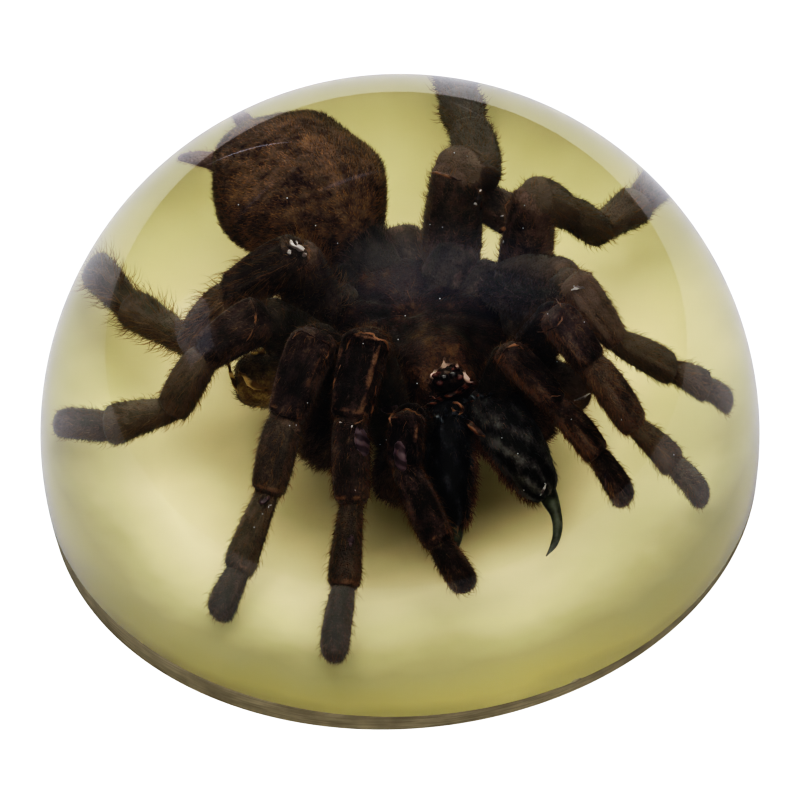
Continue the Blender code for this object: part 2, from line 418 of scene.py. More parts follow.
@dataclass(frozen=True)
class GroundEdge(Finish):
    """The same resin where it was ground back by hand: matt, olive and finely marked, painted dark as shade.
    """

    name: str = "pigmented resin, ground edge"
    roughness: float = 0.75
    gloss: float = 0.25
    # both colours are painted darker than the resin, as shade under the rim
    worn: str = "#938A70"
    shaded: str = "#736A56"
    mark: float = 0.25 * MM          # height of a grinding mark
    stretch: float = 0.06            # its height for its length
    stain: float = 4.0 * MM

    def dress(self, tree: NodeTree, shader: Node) -> None:
        """Marks that run round the edge, over blotches of darker painted shade.

        Args:
            tree: its node tree.
            shader: its shader.
        """
        here = add_node(tree, "ShaderNodeTexCoord").outputs["Object"]
        level = add_node(tree, "ShaderNodeMapping",
                         {"Scale": (self.stretch / self.mark, self.stretch / self.mark, 1.0 / self.mark)},
                         {"Vector": here})
        marks = add_node(tree, "ShaderNodeTexNoise", {"Scale": 1.0, "Detail": 4.0}, {"Vector": level})
        stains = add_node(tree, "ShaderNodeTexNoise", {"Scale": 1.0 / self.stain, "Detail": 5.0},
                          {"Vector": here})
        both = add_node(tree, "ShaderNodeMath", None, {0: marks, 1: stains}, operation="MULTIPLY")
        tone = add_node(tree, "ShaderNodeValToRGB", None, {"Fac": both},
                        stops=((0.12, self.shaded), (0.38, self.worn)))
        grain = add_node(tree, "ShaderNodeBump", {"Strength": 0.5, "Distance": 0.05 * MM},
                         {"Height": marks})
        self.surface(tree, shader, tone.outputs["Color"], grain.outputs["Normal"])


def add_sheen_and_haze(tree: NodeTree, colour: NodeSocket, haze_colour: str,
               normal: NodeSocket | None = None) -> NodeSocket:
    """Grey the colour with painted sheen where the skin is seen edge on, and with painted haze at its ends.

    Args:
        tree: the material's node tree.
        colour: the colour so far.
        haze_colour: the colour of the painted sheen and haze.
        normal: the skin's own normal, where the mesh is hair on it.

    Returns:
        The greyed colour.
    """
    ends = add_node(tree, "ShaderNodeAttribute", attribute_name="painted_haze")
    grazing = add_node(tree, "ShaderNodeLayerWeight", {"Blend": 0.5}, {"Normal": normal} if normal else None)
    edge = add_node(tree, "ShaderNodeMath", {1: 2.5}, {0: grazing.outputs["Facing"]}, operation="POWER")
    share = add_node(tree, "ShaderNodeMath", {1: 0.55}, {0: edge, 2: ends.outputs["Fac"]},
                     operation="MULTIPLY_ADD", use_clamp=True)
    grey = add_node(tree, "ShaderNodeMix", {MIX_B: linear(haze_colour)},
                    {MIX_FACTOR: share, MIX_A: colour}, data_type="RGBA")
    return grey.outputs[MIX_RESULT]


@dataclass(frozen=True)
class Cuticle(Finish):
    """Dried chitin with its finest stubble: granular, nearly black brown, and tan along its bare rims.

    The rims' pale colour is partly a painted highlight, where the joints glint.

    The resin wets it and bends light nearly as much as it does, so there is hardly any gloss.
    """

    name: str = "dried chitin"
    dark: str = "#191312"
    brown: str = "#423633"
    tan: str = "#6B5A50"
    rim: str = "#8F6F5A"
    haze_colour: str = "#5C584C"
    stubble: float = 0.17 * MM       # one grain, drawn a little coarser than life so that it shows
    patch: float = 1.6 * MM
    depth: float = 0.07 * MM

    def dress(self, tree: NodeTree, shader: Node) -> None:
        """Grains in patches, with the rims' own colour where the rim attribute says.

        Args:
            tree: its node tree.
            shader: its shader.
        """
        here = add_node(tree, "ShaderNodeTexCoord").outputs["Object"]
        grains = add_node(tree, "ShaderNodeTexVoronoi", {"Scale": 1.0 / self.stubble}, {"Vector": here})
        patches = add_node(tree, "ShaderNodeTexNoise",
                           {"Scale": 1.0 / self.patch, "Detail": 6.0, "Roughness": 0.7}, {"Vector": here})
        speckle = add_node(tree, "ShaderNodeMath", {1: 0.22, 2: -0.11}, {0: grains.outputs["Color"]},
                           operation="MULTIPLY_ADD")
        both = add_node(tree, "ShaderNodeMath", None, {0: patches, 1: speckle}, operation="ADD")
        shade = add_node(tree, "ShaderNodeAttribute", attribute_name="shade")
        depth = add_node(tree, "ShaderNodeMath", None, {0: both, 1: shade.outputs["Fac"]}, operation="ADD")
        tone = add_node(tree, "ShaderNodeValToRGB", None, {"Fac": depth},
                        stops=((0.3, self.dark), (0.55, self.brown), (0.8, self.tan)))
        down = add_sheen_and_haze(tree, tone.outputs["Color"], self.haze_colour)
        # bare rims, painted paler as highlights where the joints glint
        edge = add_node(tree, "ShaderNodeAttribute", attribute_name="rim")
        worn = add_node(tree, "ShaderNodeMath", None, {0: edge.outputs["Fac"], 1: both},
                        operation="MULTIPLY")
        bare = add_node(tree, "ShaderNodeMapRange", {"From Min": 0.17, "From Max": 0.62}, {"Value": worn})
        colour = add_node(tree, "ShaderNodeMix", {MIX_B: linear(self.rim)},
                          {MIX_FACTOR: bare, MIX_A: down}, data_type="RGBA")
        grain = add_node(tree, "ShaderNodeBump", {"Strength": 0.8, "Distance": self.depth},
                         {"Height": grains.outputs["Distance"]})
        swell = add_node(tree, "ShaderNodeBump", {"Strength": 0.8, "Distance": 0.25 * MM},
                         {"Height": patches, "Normal": grain.outputs["Normal"]})
        self.surface(tree, shader, colour.outputs[MIX_RESULT], swell.outputs["Normal"])


@dataclass(frozen=True)
class Hair(Finish):
    """Fine hair, which dried dull: each one has its own tone, and is paler at its tip.

    The resin wets the hair and bends light nearly as much as it does, so there is hardly any gloss.
    """

    name: str = "dull brown hair"
    roughness: float = 0.6
    gloss: float = 0.05
    dark: str = "#1D1615"
    middle: str = "#4C3F3B"
    pale: str = "#967A6E"
    haze_colour: str = "#5C584C"

    def dress(self, tree: NodeTree, shader: Node) -> None:
        """The tone attribute runs from the darkest hair to the palest.

        Args:
            tree: its node tree.
            shader: its shader.
        """
        tone = add_node(tree, "ShaderNodeAttribute", attribute_name="tone")
        ramp = add_node(tree, "ShaderNodeValToRGB", None, {"Fac": tone.outputs["Fac"]},
                        stops=((0.0, self.dark), (0.5, self.middle), (1.0, self.pale)))
        skin = add_node(tree, "ShaderNodeAttribute", attribute_name="skin_normal")
        # painted sheen where the skin under the hair is seen edge on, and painted haze
        down = add_sheen_and_haze(tree, ramp.outputs["Color"], self.haze_colour, skin.outputs["Vector"])
        self.surface(tree, shader, down)


@dataclass(frozen=True)
class Membrane(Finish):
    """Soft skin between hard plates, shrunk in drying: lilac to tan, wrinkled and slightly moist-looking."""

    name: str = "dried joint membrane"
    roughness: float = 0.35
    gloss: float = 0.2
    deep: str = "#32262A"
    pale: str = "#5A4B50"
    fold: float = 0.45 * MM
    waves: float = 0.16              # scale of the wave texture that draws one fold in a metre

    def dress(self, tree: NodeTree, shader: Node) -> None:
        """Close folds, darker between.

        Args:
            tree: its node tree.
            shader: its shader.
        """
        here = add_node(tree, "ShaderNodeTexCoord").outputs["Object"]
        folds = add_node(tree, "ShaderNodeTexWave",
                         {"Scale": self.waves / self.fold, "Distortion": 5.0,
                          "Detail": 2.0, "Detail Scale": 1.5},
                         {"Vector": here}, bands_direction="DIAGONAL")
        tone = add_node(tree, "ShaderNodeValToRGB", None, {"Fac": folds.outputs["Fac"]},
                        stops=((0.25, self.deep), (0.8, self.pale)))
        lift = add_node(tree, "ShaderNodeBump", {"Strength": 0.8, "Distance": 0.12 * MM},
                        {"Height": folds.outputs["Fac"]})
        self.surface(tree, shader, tone.outputs["Color"], lift.outputs["Normal"])


@dataclass(frozen=True)
class HardChitin(Finish):
    """Thick hairless chitin, polished by nature: fangs and eyes."""

    name: str = "polished black chitin"
    roughness: float = 0.32
    gloss: float = 0.12
    colour: str = "#2F312B"
    shade: str = "#54584E"
    cloud: float = 1.2 * MM

    def dress(self, tree: NodeTree, shader: Node) -> None:
        """Slow changes of depth under a smooth surface.

        Args:
            tree: its node tree.
            shader: its shader.
        """
        here = add_node(tree, "ShaderNodeTexCoord").outputs["Object"]
        clouds = add_node(tree, "ShaderNodeTexNoise", {"Scale": 1.0 / self.cloud, "Detail": 2.0},
                          {"Vector": here})
        tone = add_node(tree, "ShaderNodeValToRGB", None, {"Fac": clouds},
                        stops=((0.35, self.colour), (0.7, self.shade)))
        self.surface(tree, shader, tone.outputs["Color"])


@dataclass(frozen=True)
class PinpointBubble(Finish):
    """A pinpoint of air in the resin: too small to see through, with a painted glint and a painted dark rim.
    """

    name: str = "pinpoint air bubble, painted glint"
    gloss: float = 0.0
    painted_glint: str = "#E8ECF0"
    edge: str = "#1C1A18"

    def dress(self, tree: NodeTree, shader: Node) -> None:
        """Painted white where it faces the eye as a glint, and painted dark round its rim.

        Args:
            tree: its node tree.
            shader: its shader.
        """
        grazing = add_node(tree, "ShaderNodeLayerWeight", {"Blend": 0.5})
        tone = add_node(tree, "ShaderNodeValToRGB", None, {"Fac": grazing.outputs["Facing"]},
                        stops=((0.18, self.painted_glint), (0.5, self.edge)))
        self.surface(tree, shader, tone.outputs["Color"])


@dataclass(frozen=True)
class PlainPaper(Finish):
    """Studio floor: pale, even and matt.

    The photograph's background was cleared to white, while the dome mirrors the floor as it was, so the
    floor glows for the camera alone.
    """

    name: str = "pale studio floor"
    roughness: float = 0.95
    gloss: float = 0.0
    glow: float = 0.92

    def dress(self, tree: NodeTree, shader: Node) -> None:
        """Nearly white, with a grain too fine to see.

        Args:
            tree: its node tree.
            shader: its shader.
        """
        here = add_node(tree, "ShaderNodeTexCoord").outputs["Object"]
        grain = add_node(tree, "ShaderNodeTexNoise", {"Scale": 900.0}, {"Vector": here})
        tone = add_node(tree, "ShaderNodeValToRGB", None, {"Fac": grain},
                        stops=((0.0, "#96969C"), (1.0, "#9C9CA2")))
        path = add_node(tree, "ShaderNodeLightPath")
        glow = add_node(tree, "ShaderNodeMath", {1: self.glow}, {0: path.outputs["Is Camera Ray"]},
                        operation="MULTIPLY")
        self.surface(tree, shader, tone.outputs["Color"])
        tree.links.new(glow.outputs[0], shader.inputs["Emission Strength"])
        shader.inputs["Emission Color"].default_value = (1.0, 1.0, 1.0, 1.0)


CLEAR_RESIN = ClearResin()
PIGMENTED_RESIN = PigmentedResin()
GROUND_EDGE = GroundEdge()
LIMB_CUTICLE = Cuticle()
JAW_CUTICLE = Cuticle(name="dried chitin of the left jaw", dark="#181716", brown="#3C3A39", tan="#5C5A58",
                      haze_colour="#2E3134", patch=1.1 * MM, roughness=0.45, gloss=0.15, depth=0.03 * MM)
SHIELD_CUTICLE = Cuticle(name="dried chitin of the shield", dark="#14100F", brown="#2E2421", tan="#54402F",
                         patch=1.2 * MM)
BELLY_SKIN = Cuticle(name="abdomen skin under the velvet", dark="#352A26", brown="#5B4C42", tan="#75604E",
                     haze_colour="#5D5E4C", stubble=0.2 * MM, patch=1.8 * MM, roughness=0.7)
BROWN_HAIR = Hair()
RUSTY_HAIR = Hair(name="rusty brown hair", dark="#1D1310", middle="#503A31", pale="#A07256", haze_colour="#5A4E44")
SHIELD_HAIR = Hair(name="short shield pile", dark="#150F0E", middle="#3E2C25", pale="#7E5842",
                   haze_colour="#443D38")
JAW_DOWN = Hair(name="black jaw hair", dark="#1E1F20", middle="#43474A", pale="#776F64", haze_colour="#2E3134")
GOLDEN_VELVET = Hair(name="golden brown velvet", dark="#261C17", middle="#5E4C3A", pale="#B4895C",
                     haze_colour="#5D5E4C")
RED_FRINGE = Hair(name="red-brown fringe", dark="#221817", middle="#53453E", pale="#8E7260", haze_colour="#5A4038")
LONG_HAIR = Hair(name="long brown bristles", dark="#241A15", middle="#54412F", pale="#A07C58",
                 haze_colour="#6E5A44", roughness=0.45)
MEMBRANE = Membrane()
PALE_MEMBRANE = Membrane(name="pale dried membrane", deep="#4E3E37", pale="#B8A096", fold=0.6 * MM)
# painted paler than the membrane, as light on it in the shade under the body
TAN_MEMBRANE = Membrane(name="tan dried membrane", deep="#725C3A", pale="#CEB27C", fold=0.5 * MM)
# also paints the joints' glints as highlights
WHITE_FLAKES_AND_GLINTS = Membrane(name="white dried flakes and painted glints", deep="#6E6462", pale="#CAC6C6", fold=0.5 * MM)
GREY_SKIN = Membrane(name="grey dried skin", deep="#0C0E10", pale="#383C41", fold=0.25 * MM)
COPPER_SKIN = Membrane(name="copper dried skin and painted glint", deep="#33231B", pale="#785844", fold=0.4 * MM)
RED_SKIN = Membrane(name="red-brown dried skin", deep="#26160F", pale="#5E3C30", fold=0.3 * MM)
# painted paler than the chitin, as light on the third right trochanter in the shade under the body
OLIVE_CHITIN = Cuticle(name="bare olive chitin", dark="#3C2D20", brown="#786446", tan="#AC946A",
                       rim="#CCAE74", haze_colour="#5E563A", roughness=0.4, gloss=0.15)
RIM_CHITIN = Membrane(name="bare brown rims", deep="#2E1D16", pale="#88664E", fold=0.9 * MM)
# the right jaw's chitin and hair are darker copies of the left jaw's, as painted shade
SHADED_JAW_CUTICLE = Cuticle(name="right jaw chitin in painted shade", dark="#0F0F10", brown="#212224", tan="#404144",
                      haze_colour="#101214", patch=1.1 * MM, roughness=0.45, gloss=0.12, depth=0.03 * MM)
SHADED_JAW_HAIR = Hair(name="right jaw hair in painted shade", dark="#121212", middle="#2C2928", pale="#584A42", haze_colour="#101214")
AIR_BUBBLE = PinpointBubble()
FANG_CHITIN = HardChitin(name="polished fang chitin")
EYE_LENS = HardChitin(name="black eye lens", colour="#08070A", shade="#1B1014", roughness=0.05, gloss=0.3)
PEARL_LENS = HardChitin(name="pearly eye lens", colour="#33201F", shade="#6E4A46", roughness=0.08)
FLOOR_PAPER = PlainPaper()


# ----------------------------------------
# Resin
# ----------------------------------------

@dataclass
class ResinDome:
    """The clear casting and the pigmented layer bonded under it, both cut from one ball."""

    ball_radius: float = 45.0 * MM
    ball_height: float = 4.6 * MM
    foot_radius: float = 44.3 * MM
    worn_edge: float = 0.5 * MM
    layer_height: float = 3.0 * MM
    layer_tilt: tuple[float, float] = (0.5, 2.0)
    bond: float = 0.08 * MM          # how far the clear resin reaches into the pigmented layer
    tuck: float = 0.10 * MM          # and how far inside its outline it stays there
    chip: Point = (17.84, -41.15, 2.0)
    chip_facing: Point = (0.4, -0.92, 0.0)
    chip_half: Point = (0.75, 0.28, 0.16)
    sharpest: float = 25.0           # degrees between faces that still look like one
    segments: int = 192
    rings: int = 96
    cut_error: float = 0.001 * MM    # a looser cut would leave its face uneven

    def ball(self, name: str) -> Object:
        """The ball that both pieces are cut from.

        Args:
            name: the piece's name.

        Returns:
            The ball, at the origin.
        """
        select()
        bpy.ops.mesh.primitive_uv_sphere_add(segments=self.segments, ring_count=self.rings,
                                             radius=self.ball_radius, location=(0.0, 0.0, self.ball_height))
        ball = rename(bpy.context.object, name)
        select(ball)
        bpy.ops.object.transform_apply(location=True, rotation=True, scale=True)
        return ball

    def face_normal(self) -> Vector:
        """Direction that the face between the two resins looks in."""
        about_x, about_y = (math.radians(angle) for angle in self.layer_tilt)
        return (Matrix.Rotation(about_x, 3, "X") @ Matrix.Rotation(about_y, 3, "Y")) @ UPWARDS

    def cut(self, height: float, normal: Vector, keep_above: bool) -> None:
        """Cut the ball in edit mode by a plane through the dome's axis, and close the cut.

        Args:
            height: where the plane meets the axis.
            normal: the plane's upward direction.
            keep_above: whether the part above the plane stays, and not the part below.
        """
        bpy.ops.mesh.select_all(action="SELECT")
        bpy.ops.mesh.bisect(plane_co=(0.0, 0.0, height), plane_no=normal, use_fill=True,
                            clear_inner=keep_above, clear_outer=not keep_above, threshold=self.cut_error)

    def clear_piece(self) -> Object:
        """The clear resin, whose lower face lies just inside the pigmented layer.

        Returns:
            The piece.
        """
        piece = self.ball("clear_dome")
        bpy.ops.object.mode_set(mode="EDIT")
        self.cut(self.layer_height, self.face_normal(), keep_above=True)
        bpy.ops.mesh.extrude_region_move(TRANSFORM_OT_translate={"value": (0.0, 0.0, -self.bond)})
        inward = 1.0 - self.tuck / self.ball_radius
        bpy.ops.transform.resize(value=(inward, inward, 1.0), center_override=(0.0, 0.0, self.layer_height))
        face_outwards()
        bpy.ops.object.shade_smooth_by_angle(angle=math.radians(self.sharpest))
        return piece

    def pigmented_piece(self) -> Object:
        """The layer under it, with its worn lower edge and the chip in its front rim.

        Returns:
            The piece, with its ground faces marked.
        """
        piece = self.ball("pigmented_layer")
        bpy.ops.object.mode_set(mode="EDIT")
        self.cut(self.layer_height, self.face_normal(), keep_above=False)
        self.cut(self.worn_edge, UPWARDS, keep_above=True)
        worn_radius = math.sqrt(self.ball_radius ** 2 - (self.ball_height - self.worn_edge) ** 2)
        for shrink in (1.0, self.foot_radius / worn_radius):
            bpy.ops.mesh.extrude_region_move(
                TRANSFORM_OT_translate={"value": (0.0, 0.0, -self.worn_edge / 2)})
            bpy.ops.transform.resize(value=(shrink, shrink, 1.0), center_override=(0.0, 0.0, 0.0))
        face_outwards()
        self.mark_ground_faces(piece.data)
        bpy.ops.object.shade_smooth_by_angle(angle=math.radians(self.sharpest))
        return piece

    def mark_ground_faces(self, mesh: Mesh) -> None:
        """Give all but the bonded top face the ground finish.

        Args:
            mesh: the layer's mesh.
        """
        up = self.face_normal()
        for face in mesh.polygons:
            bonded = face.normal.dot(up) > 0.99 and face.center.z > self.layer_height / 2
            face.material_index = 0 if bonded else 1

    def rim_chip(self) -> Object:
        """The small chip in the front rim, filled with grinding dust.

        Returns:
            The chip, sunk in the rim.
        """
        chip = rename(Spot(self.chip, self.chip_facing, self.chip_half).build(), "rim_chip")
        crumple(chip.data, 0.15, 0.4)
        chip.data.shade_smooth()
        return chip

    def build(self) -> None:
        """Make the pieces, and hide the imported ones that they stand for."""
        add_to_object(self.rim_chip(), "pigmented_resin", (GROUND_EDGE,), "base_layer")
        add_to_object(self.clear_piece(), "clear_resin", (CLEAR_RESIN,),
                      "clear_dome_upper", "clear_dome_lower")
        add_to_object(self.pigmented_piece(), "pigmented_resin", (PIGMENTED_RESIN, GROUND_EDGE), "base_layer")


# ----------------------------------------
# Hair
# ----------------------------------------

@dataclass(frozen=True)
class Coat:
    """One kind of hair: how thick it grows, its size in millimetres, and how it stands."""

    per_mm2: float
    length: float
    width: float
    lift: float                      # degrees off the skin
    stray: float = 0.22              # how untidy it is
    shortest: float = 0.55           # of its full length
    bend: float = 0.0                # how far the outer half leans back to the skin
    tone: float = 0.45
    spread: float = 0.25
    grows_on: str = "cover"


VELVET = Coat(per_mm2=44.0, length=0.62, width=0.055, lift=32.0, stray=0.28, tone=0.45, spread=0.16)
SHIELD_PILE = Coat(per_mm2=38.0, length=0.55, width=0.05, lift=20.0, stray=0.2, tone=0.42, spread=0.16)
LEG_PILE = Coat(per_mm2=30.0, length=0.6, width=0.052, lift=33.0, stray=0.28, tone=0.42, spread=0.16)
THIN_PILE = Coat(per_mm2=11.0, length=0.6, width=0.05, lift=40.0, stray=0.3, tone=0.62, spread=0.2)
LEG_BRISTLES = Coat(per_mm2=3.2, length=1.55, width=0.042, lift=45.0, shortest=0.4, bend=0.3, tone=0.5,
                    spread=0.2)
REAR_BRISTLES = Coat(per_mm2=3.6, length=2.7, width=0.045, lift=50.0, shortest=0.35, bend=0.25, tone=0.6,
                     spread=0.2)
BODY_BRISTLES = Coat(per_mm2=0.9, length=1.2, width=0.042, lift=38.0, bend=0.3, tone=0.5, spread=0.2)
JAW_HAIR = Coat(per_mm2=9.0, length=0.7, width=0.04, lift=15.0, stray=0.12, tone=0.25, spread=0.12)
JAW_PATCH = Coat(per_mm2=16.0, length=0.8, width=0.045, lift=25.0, stray=0.25, tone=0.45, grows_on="brown")
FRINGE = Coat(per_mm2=22.0, length=1.3, width=0.055, lift=55.0, stray=0.3, bend=0.2, tone=0.55,
              grows_on="fringe")
FOOT_BRUSH = Coat(per_mm2=34.0, length=0.6, width=0.055, lift=65.0, stray=0.25, tone=0.3, grows_on="fringe")


@dataclass
class Fur:
    """Hair grown on a skin, as closed spikes in one mesh.

    Operators can't place tens of thousands of hairs in the time there is, so their points are worked out
    as arrays: a short hair is a three-sided spike, and a bristle is one that leans over half way.
    """

    skin: Object
    seed: int
    sunk: float = 0.06 * MM          # how deep a root starts under the skin

    def __post_init__(self) -> None:
        """Read the skin's triangles, normals and attributes once."""
        mesh = self.skin.data
        mesh.calc_loop_triangles()
        corners = np.empty(len(mesh.loop_triangles) * 3, np.int32)
        mesh.loop_triangles.foreach_get("vertices", corners)
        self.triangles = corners.reshape(-1, 3)
        self.points = vertex_array(mesh)
        self.normals = normal_array(mesh)
        self.grain = get_attribute(mesh, "grain")
        self.tones = np.stack((get_attribute(mesh, "shade"), get_attribute(mesh, "painted_haze")), axis=1)
        sides = self.points[self.triangles]
        crossed = np.cross(sides[:, 1] - sides[:, 0], sides[:, 2] - sides[:, 0])
        self.areas = np.linalg.norm(crossed, axis=1) / 2.0
        self.random = np.random.default_rng(self.seed)

    def roots(self, coat: Coat) -> tuple[np.ndarray, ...]:
        """Choose where the hairs of one coat grow.

        Args:
            coat: the kind of hair.

        Returns:
            Roots, normals, grain directions, and shades with painted haze, one row for each hair.
        """
        cover = get_attribute(self.skin.data, coat.grows_on)[self.triangles].mean(axis=1)
        weight = self.areas * np.clip(cover, 0.0, None)
        total = weight.sum()
        count = int(coat.per_mm2 * total / MM ** 2)
        if count == 0:
            return (np.empty((0, 3)),) * 3 + (np.empty((0, 2)),)
        chosen = self.triangles[self.random.choice(len(weight), count, p=weight / total)]
        first, second = np.sqrt(self.random.random(count)), self.random.random(count)
        shares = np.stack((1.0 - first, first * (1.0 - second), first * second), axis=1)
        return tuple(np.einsum("ij,ijk->ik", shares, values[chosen]) for values in
                     (self.points, self.normals, self.grain, self.tones))

    def spikes(self, coat: Coat) -> tuple[np.ndarray, ...]:
        """Make the hairs of one coat.

        Args:
            coat: the kind of hair.

        Returns:
            Points, triangles, and the points' tones, painted haze and skin normals.
        """
        root, normal, grain, shades = self.roots(coat)
        count = len(root)
        normal = unit_rows(normal)
        flat = unit_rows(grain - normal * np.sum(grain * normal, axis=1, keepdims=True))
        lift = math.radians(coat.lift)
        aim = flat * math.cos(lift) + normal * math.sin(lift)
        aim = unit_rows(aim + coat.stray * self.random.normal(size=(count, 3)))
        length = coat.length * MM * self.random.uniform(coat.shortest, 1.0, (count, 1))
        across = unit_rows(np.cross(aim, unit_rows(self.random.normal(size=(count, 3)))))
        upright = np.cross(aim, across)
        ring = []
        for corner in range(3):
            angle = 2.0 * math.pi * corner / 3
            ring.append((across * math.cos(angle) + upright * math.sin(angle)) * coat.width * MM / 2)
        start = root - normal * self.sunk
        tone = np.clip(coat.tone + shades[:, 0] + coat.spread * self.random.normal(size=count), 0.0, 0.9)
        if coat.bend:
            middle = start + aim * length * 0.5
            tip = middle + unit_rows(aim + flat * coat.bend * 2.0 - normal * coat.bend) * length * 0.5
            rows = [start + side for side in ring] + [middle + side * 0.8 for side in ring] + [tip]
            pattern = np.array(BENT_SPIKE)
            lifts = np.array([0.0, 0.0, 0.0, 0.05, 0.05, 0.05, 0.15])
        else:
            rows = [start + side for side in ring] + [start + aim * length]
            pattern = np.array(PLAIN_SPIKE)
            lifts = np.array([0.0, 0.0, 0.0, 0.12])
        points = np.stack(rows, axis=1)
        faces = pattern[None, :, :] + (np.arange(count) * len(rows))[:, None, None]
        tones = (tone[:, None] + lifts[None, :]).ravel()
        each = len(rows)
        return (points.reshape(-1, 3), faces.reshape(-1, 3), tones, np.repeat(shades[:, 1], each),
                np.repeat(normal, each, axis=0))

    def grow(self, name: str, coats: Sequence[Coat]) -> Object:
        """Grow the coats as one piece.

        Args:
            name: the piece's name.
            coats: the kinds of hair in it.

        Returns:
            The piece, with the hairs' tones as an attribute.
        """
        grown = [self.spikes(coat) for coat in coats]
        before = np.cumsum([0] + [len(parts[0]) for parts in grown])
        faces = np.concatenate([parts[1] + start for parts, start in zip(grown, before)])
        points, tones, painted_hazes, normals = (np.concatenate([parts[number] for parts in grown])
                                           for number in (0, 2, 3, 4))
        piece = mesh_object(name, points, faces)
        for label, values in (("tone", tones), ("painted_haze", painted_hazes), ("skin_normal", normals)):
            set_attribute(piece.data, label, values)
        return piece


PLAIN_SPIKE = ((0, 2, 1), (0, 1, 3), (1, 2, 3), (2, 0, 3))
BENT_SPIKE = ((0, 2, 1), (0, 1, 4), (0, 4, 3), (1, 2, 5), (1, 5, 4), (2, 0, 3), (2, 3, 5),
              (3, 4, 6), (4, 5, 6), (5, 3, 6))


def unit_rows(rows: np.ndarray) -> np.ndarray:
    """Give every row the length 1."""
    return rows / np.maximum(np.linalg.norm(rows, axis=1, keepdims=True), 1e-12)


def mesh_object(name: str, points: np.ndarray, faces: np.ndarray) -> Object:
    """Make an object from points and triangles.

    Args:
        name: its name.
        points: one row for each point.
        faces: one row of three point numbers for each triangle.

    Returns:
        The object.
    """
    mesh = bpy.data.meshes.new(name)
    mesh.vertices.add(len(points))
    mesh.vertices.foreach_set("co", points.astype(np.float32).ravel())
    mesh.loops.add(faces.size)
    mesh.loops.foreach_set("vertex_index", faces.astype(np.int32).ravel())
    mesh.polygons.add(len(faces))
    mesh.polygons.foreach_set("loop_start", np.arange(0, faces.size, 3, dtype=np.int32))
    mesh.update(calc_edges=True)
    return add_object(name, mesh)


# ----------------------------------------
# Limbs
# ----------------------------------------

class Segment(Enum):
    """The segments of a limb, from the body outwards."""

    COXA = "coxa"
    FEMUR = "femur"
    PATELLA = "patella"
    TIBIA = "tibia"
    METATARSUS = "metatarsus"
    TARSUS = "tarsus"
    JAW = "jaw"
    STUB = "stub"


@dataclass(frozen=True)
class SegmentShape:
    """Shape of a segment of length 1 and radius 1: its back faces +Y, and it runs along +Z.

    The dried segments have sunk in along their backs, which leaves a ridge along both sides of each.
    """

    stations: tuple[tuple[float, float], ...]     # height and radius
    sunk: float = 0.0                             # how deep the back has sunk in
    rims: tuple[float, ...] = ()                  # heights of its bare, raised rims
    bare_back: float = 0.0                        # share of the hair that its back has lost
    ridge_line: float = 0.0                       # how bare and pale the ridges are
    brush: float = 0.0                            # hair brush under it


SHAPES = {
    Segment.COXA: SegmentShape(((-0.08, 0.55), (0.0, 0.85), (0.2, 1.02), (0.5, 1.06), (0.8, 1.0), (1.0, 0.85),
                                (1.06, 0.5)), rims=(0.9,)),
    Segment.FEMUR: SegmentShape(((-0.06, 0.5), (0.0, 0.8), (0.08, 0.93), (0.3, 1.04), (0.55, 1.05),
                                 (0.8, 1.0), (0.92, 0.97), (0.98, 0.9), (1.04, 0.62)),
                                sunk=0.12, rims=(0.94,), bare_back=0.35, ridge_line=0.6),
    Segment.PATELLA: SegmentShape(((-0.16, 0.45), (-0.1, 0.8), (0.0, 0.98), (0.06, 1.02), (0.35, 1.06),
                                   (0.7, 1.0), (0.9, 0.95), (1.0, 0.88), (1.05, 0.6)),
                                  sunk=0.26, rims=(0.0, 0.93), bare_back=0.65, ridge_line=1.0),
    Segment.TIBIA: SegmentShape(((-0.06, 0.45), (0.0, 0.74), (0.08, 0.86), (0.3, 0.99), (0.6, 1.03),
                                 (0.85, 1.02), (0.95, 0.96), (1.0, 0.82), (1.04, 0.5)),
                                sunk=0.14, rims=(0.95,), bare_back=0.35, ridge_line=0.55),
    Segment.METATARSUS: SegmentShape(((-0.06, 0.42), (0.0, 0.6), (0.1, 0.72), (0.35, 0.84), (0.65, 0.98),
                                      (0.85, 1.1), (0.95, 1.02), (1.0, 0.85), (1.04, 0.5)),
                                     sunk=0.05, rims=(0.95,), bare_back=0.1, ridge_line=0.25, brush=0.5),
    Segment.TARSUS: SegmentShape(((-0.05, 0.5), (0.0, 0.76), (0.12, 0.84), (0.4, 0.9), (0.7, 0.98),
                                  (0.92, 0.94), (1.02, 0.72), (1.07, 0.36)), brush=1.0),
    Segment.JAW: SegmentShape(((-0.1, 0.5), (0.0, 0.82), (0.1, 1.0), (0.3, 1.12), (0.55, 1.12), (0.8, 1.02),
                               (0.93, 0.88), (1.0, 0.68), (1.04, 0.35)), brush=1.0),
    Segment.STUB: SegmentShape(((-0.1, 0.7), (0.0, 0.95), (0.3, 1.0), (0.36, 0.9), (0.62, 0.95), (0.68, 0.84),
                                (0.92, 0.86), (1.0, 0.55), (1.02, 0.25)), rims=(0.34, 0.66)),
}


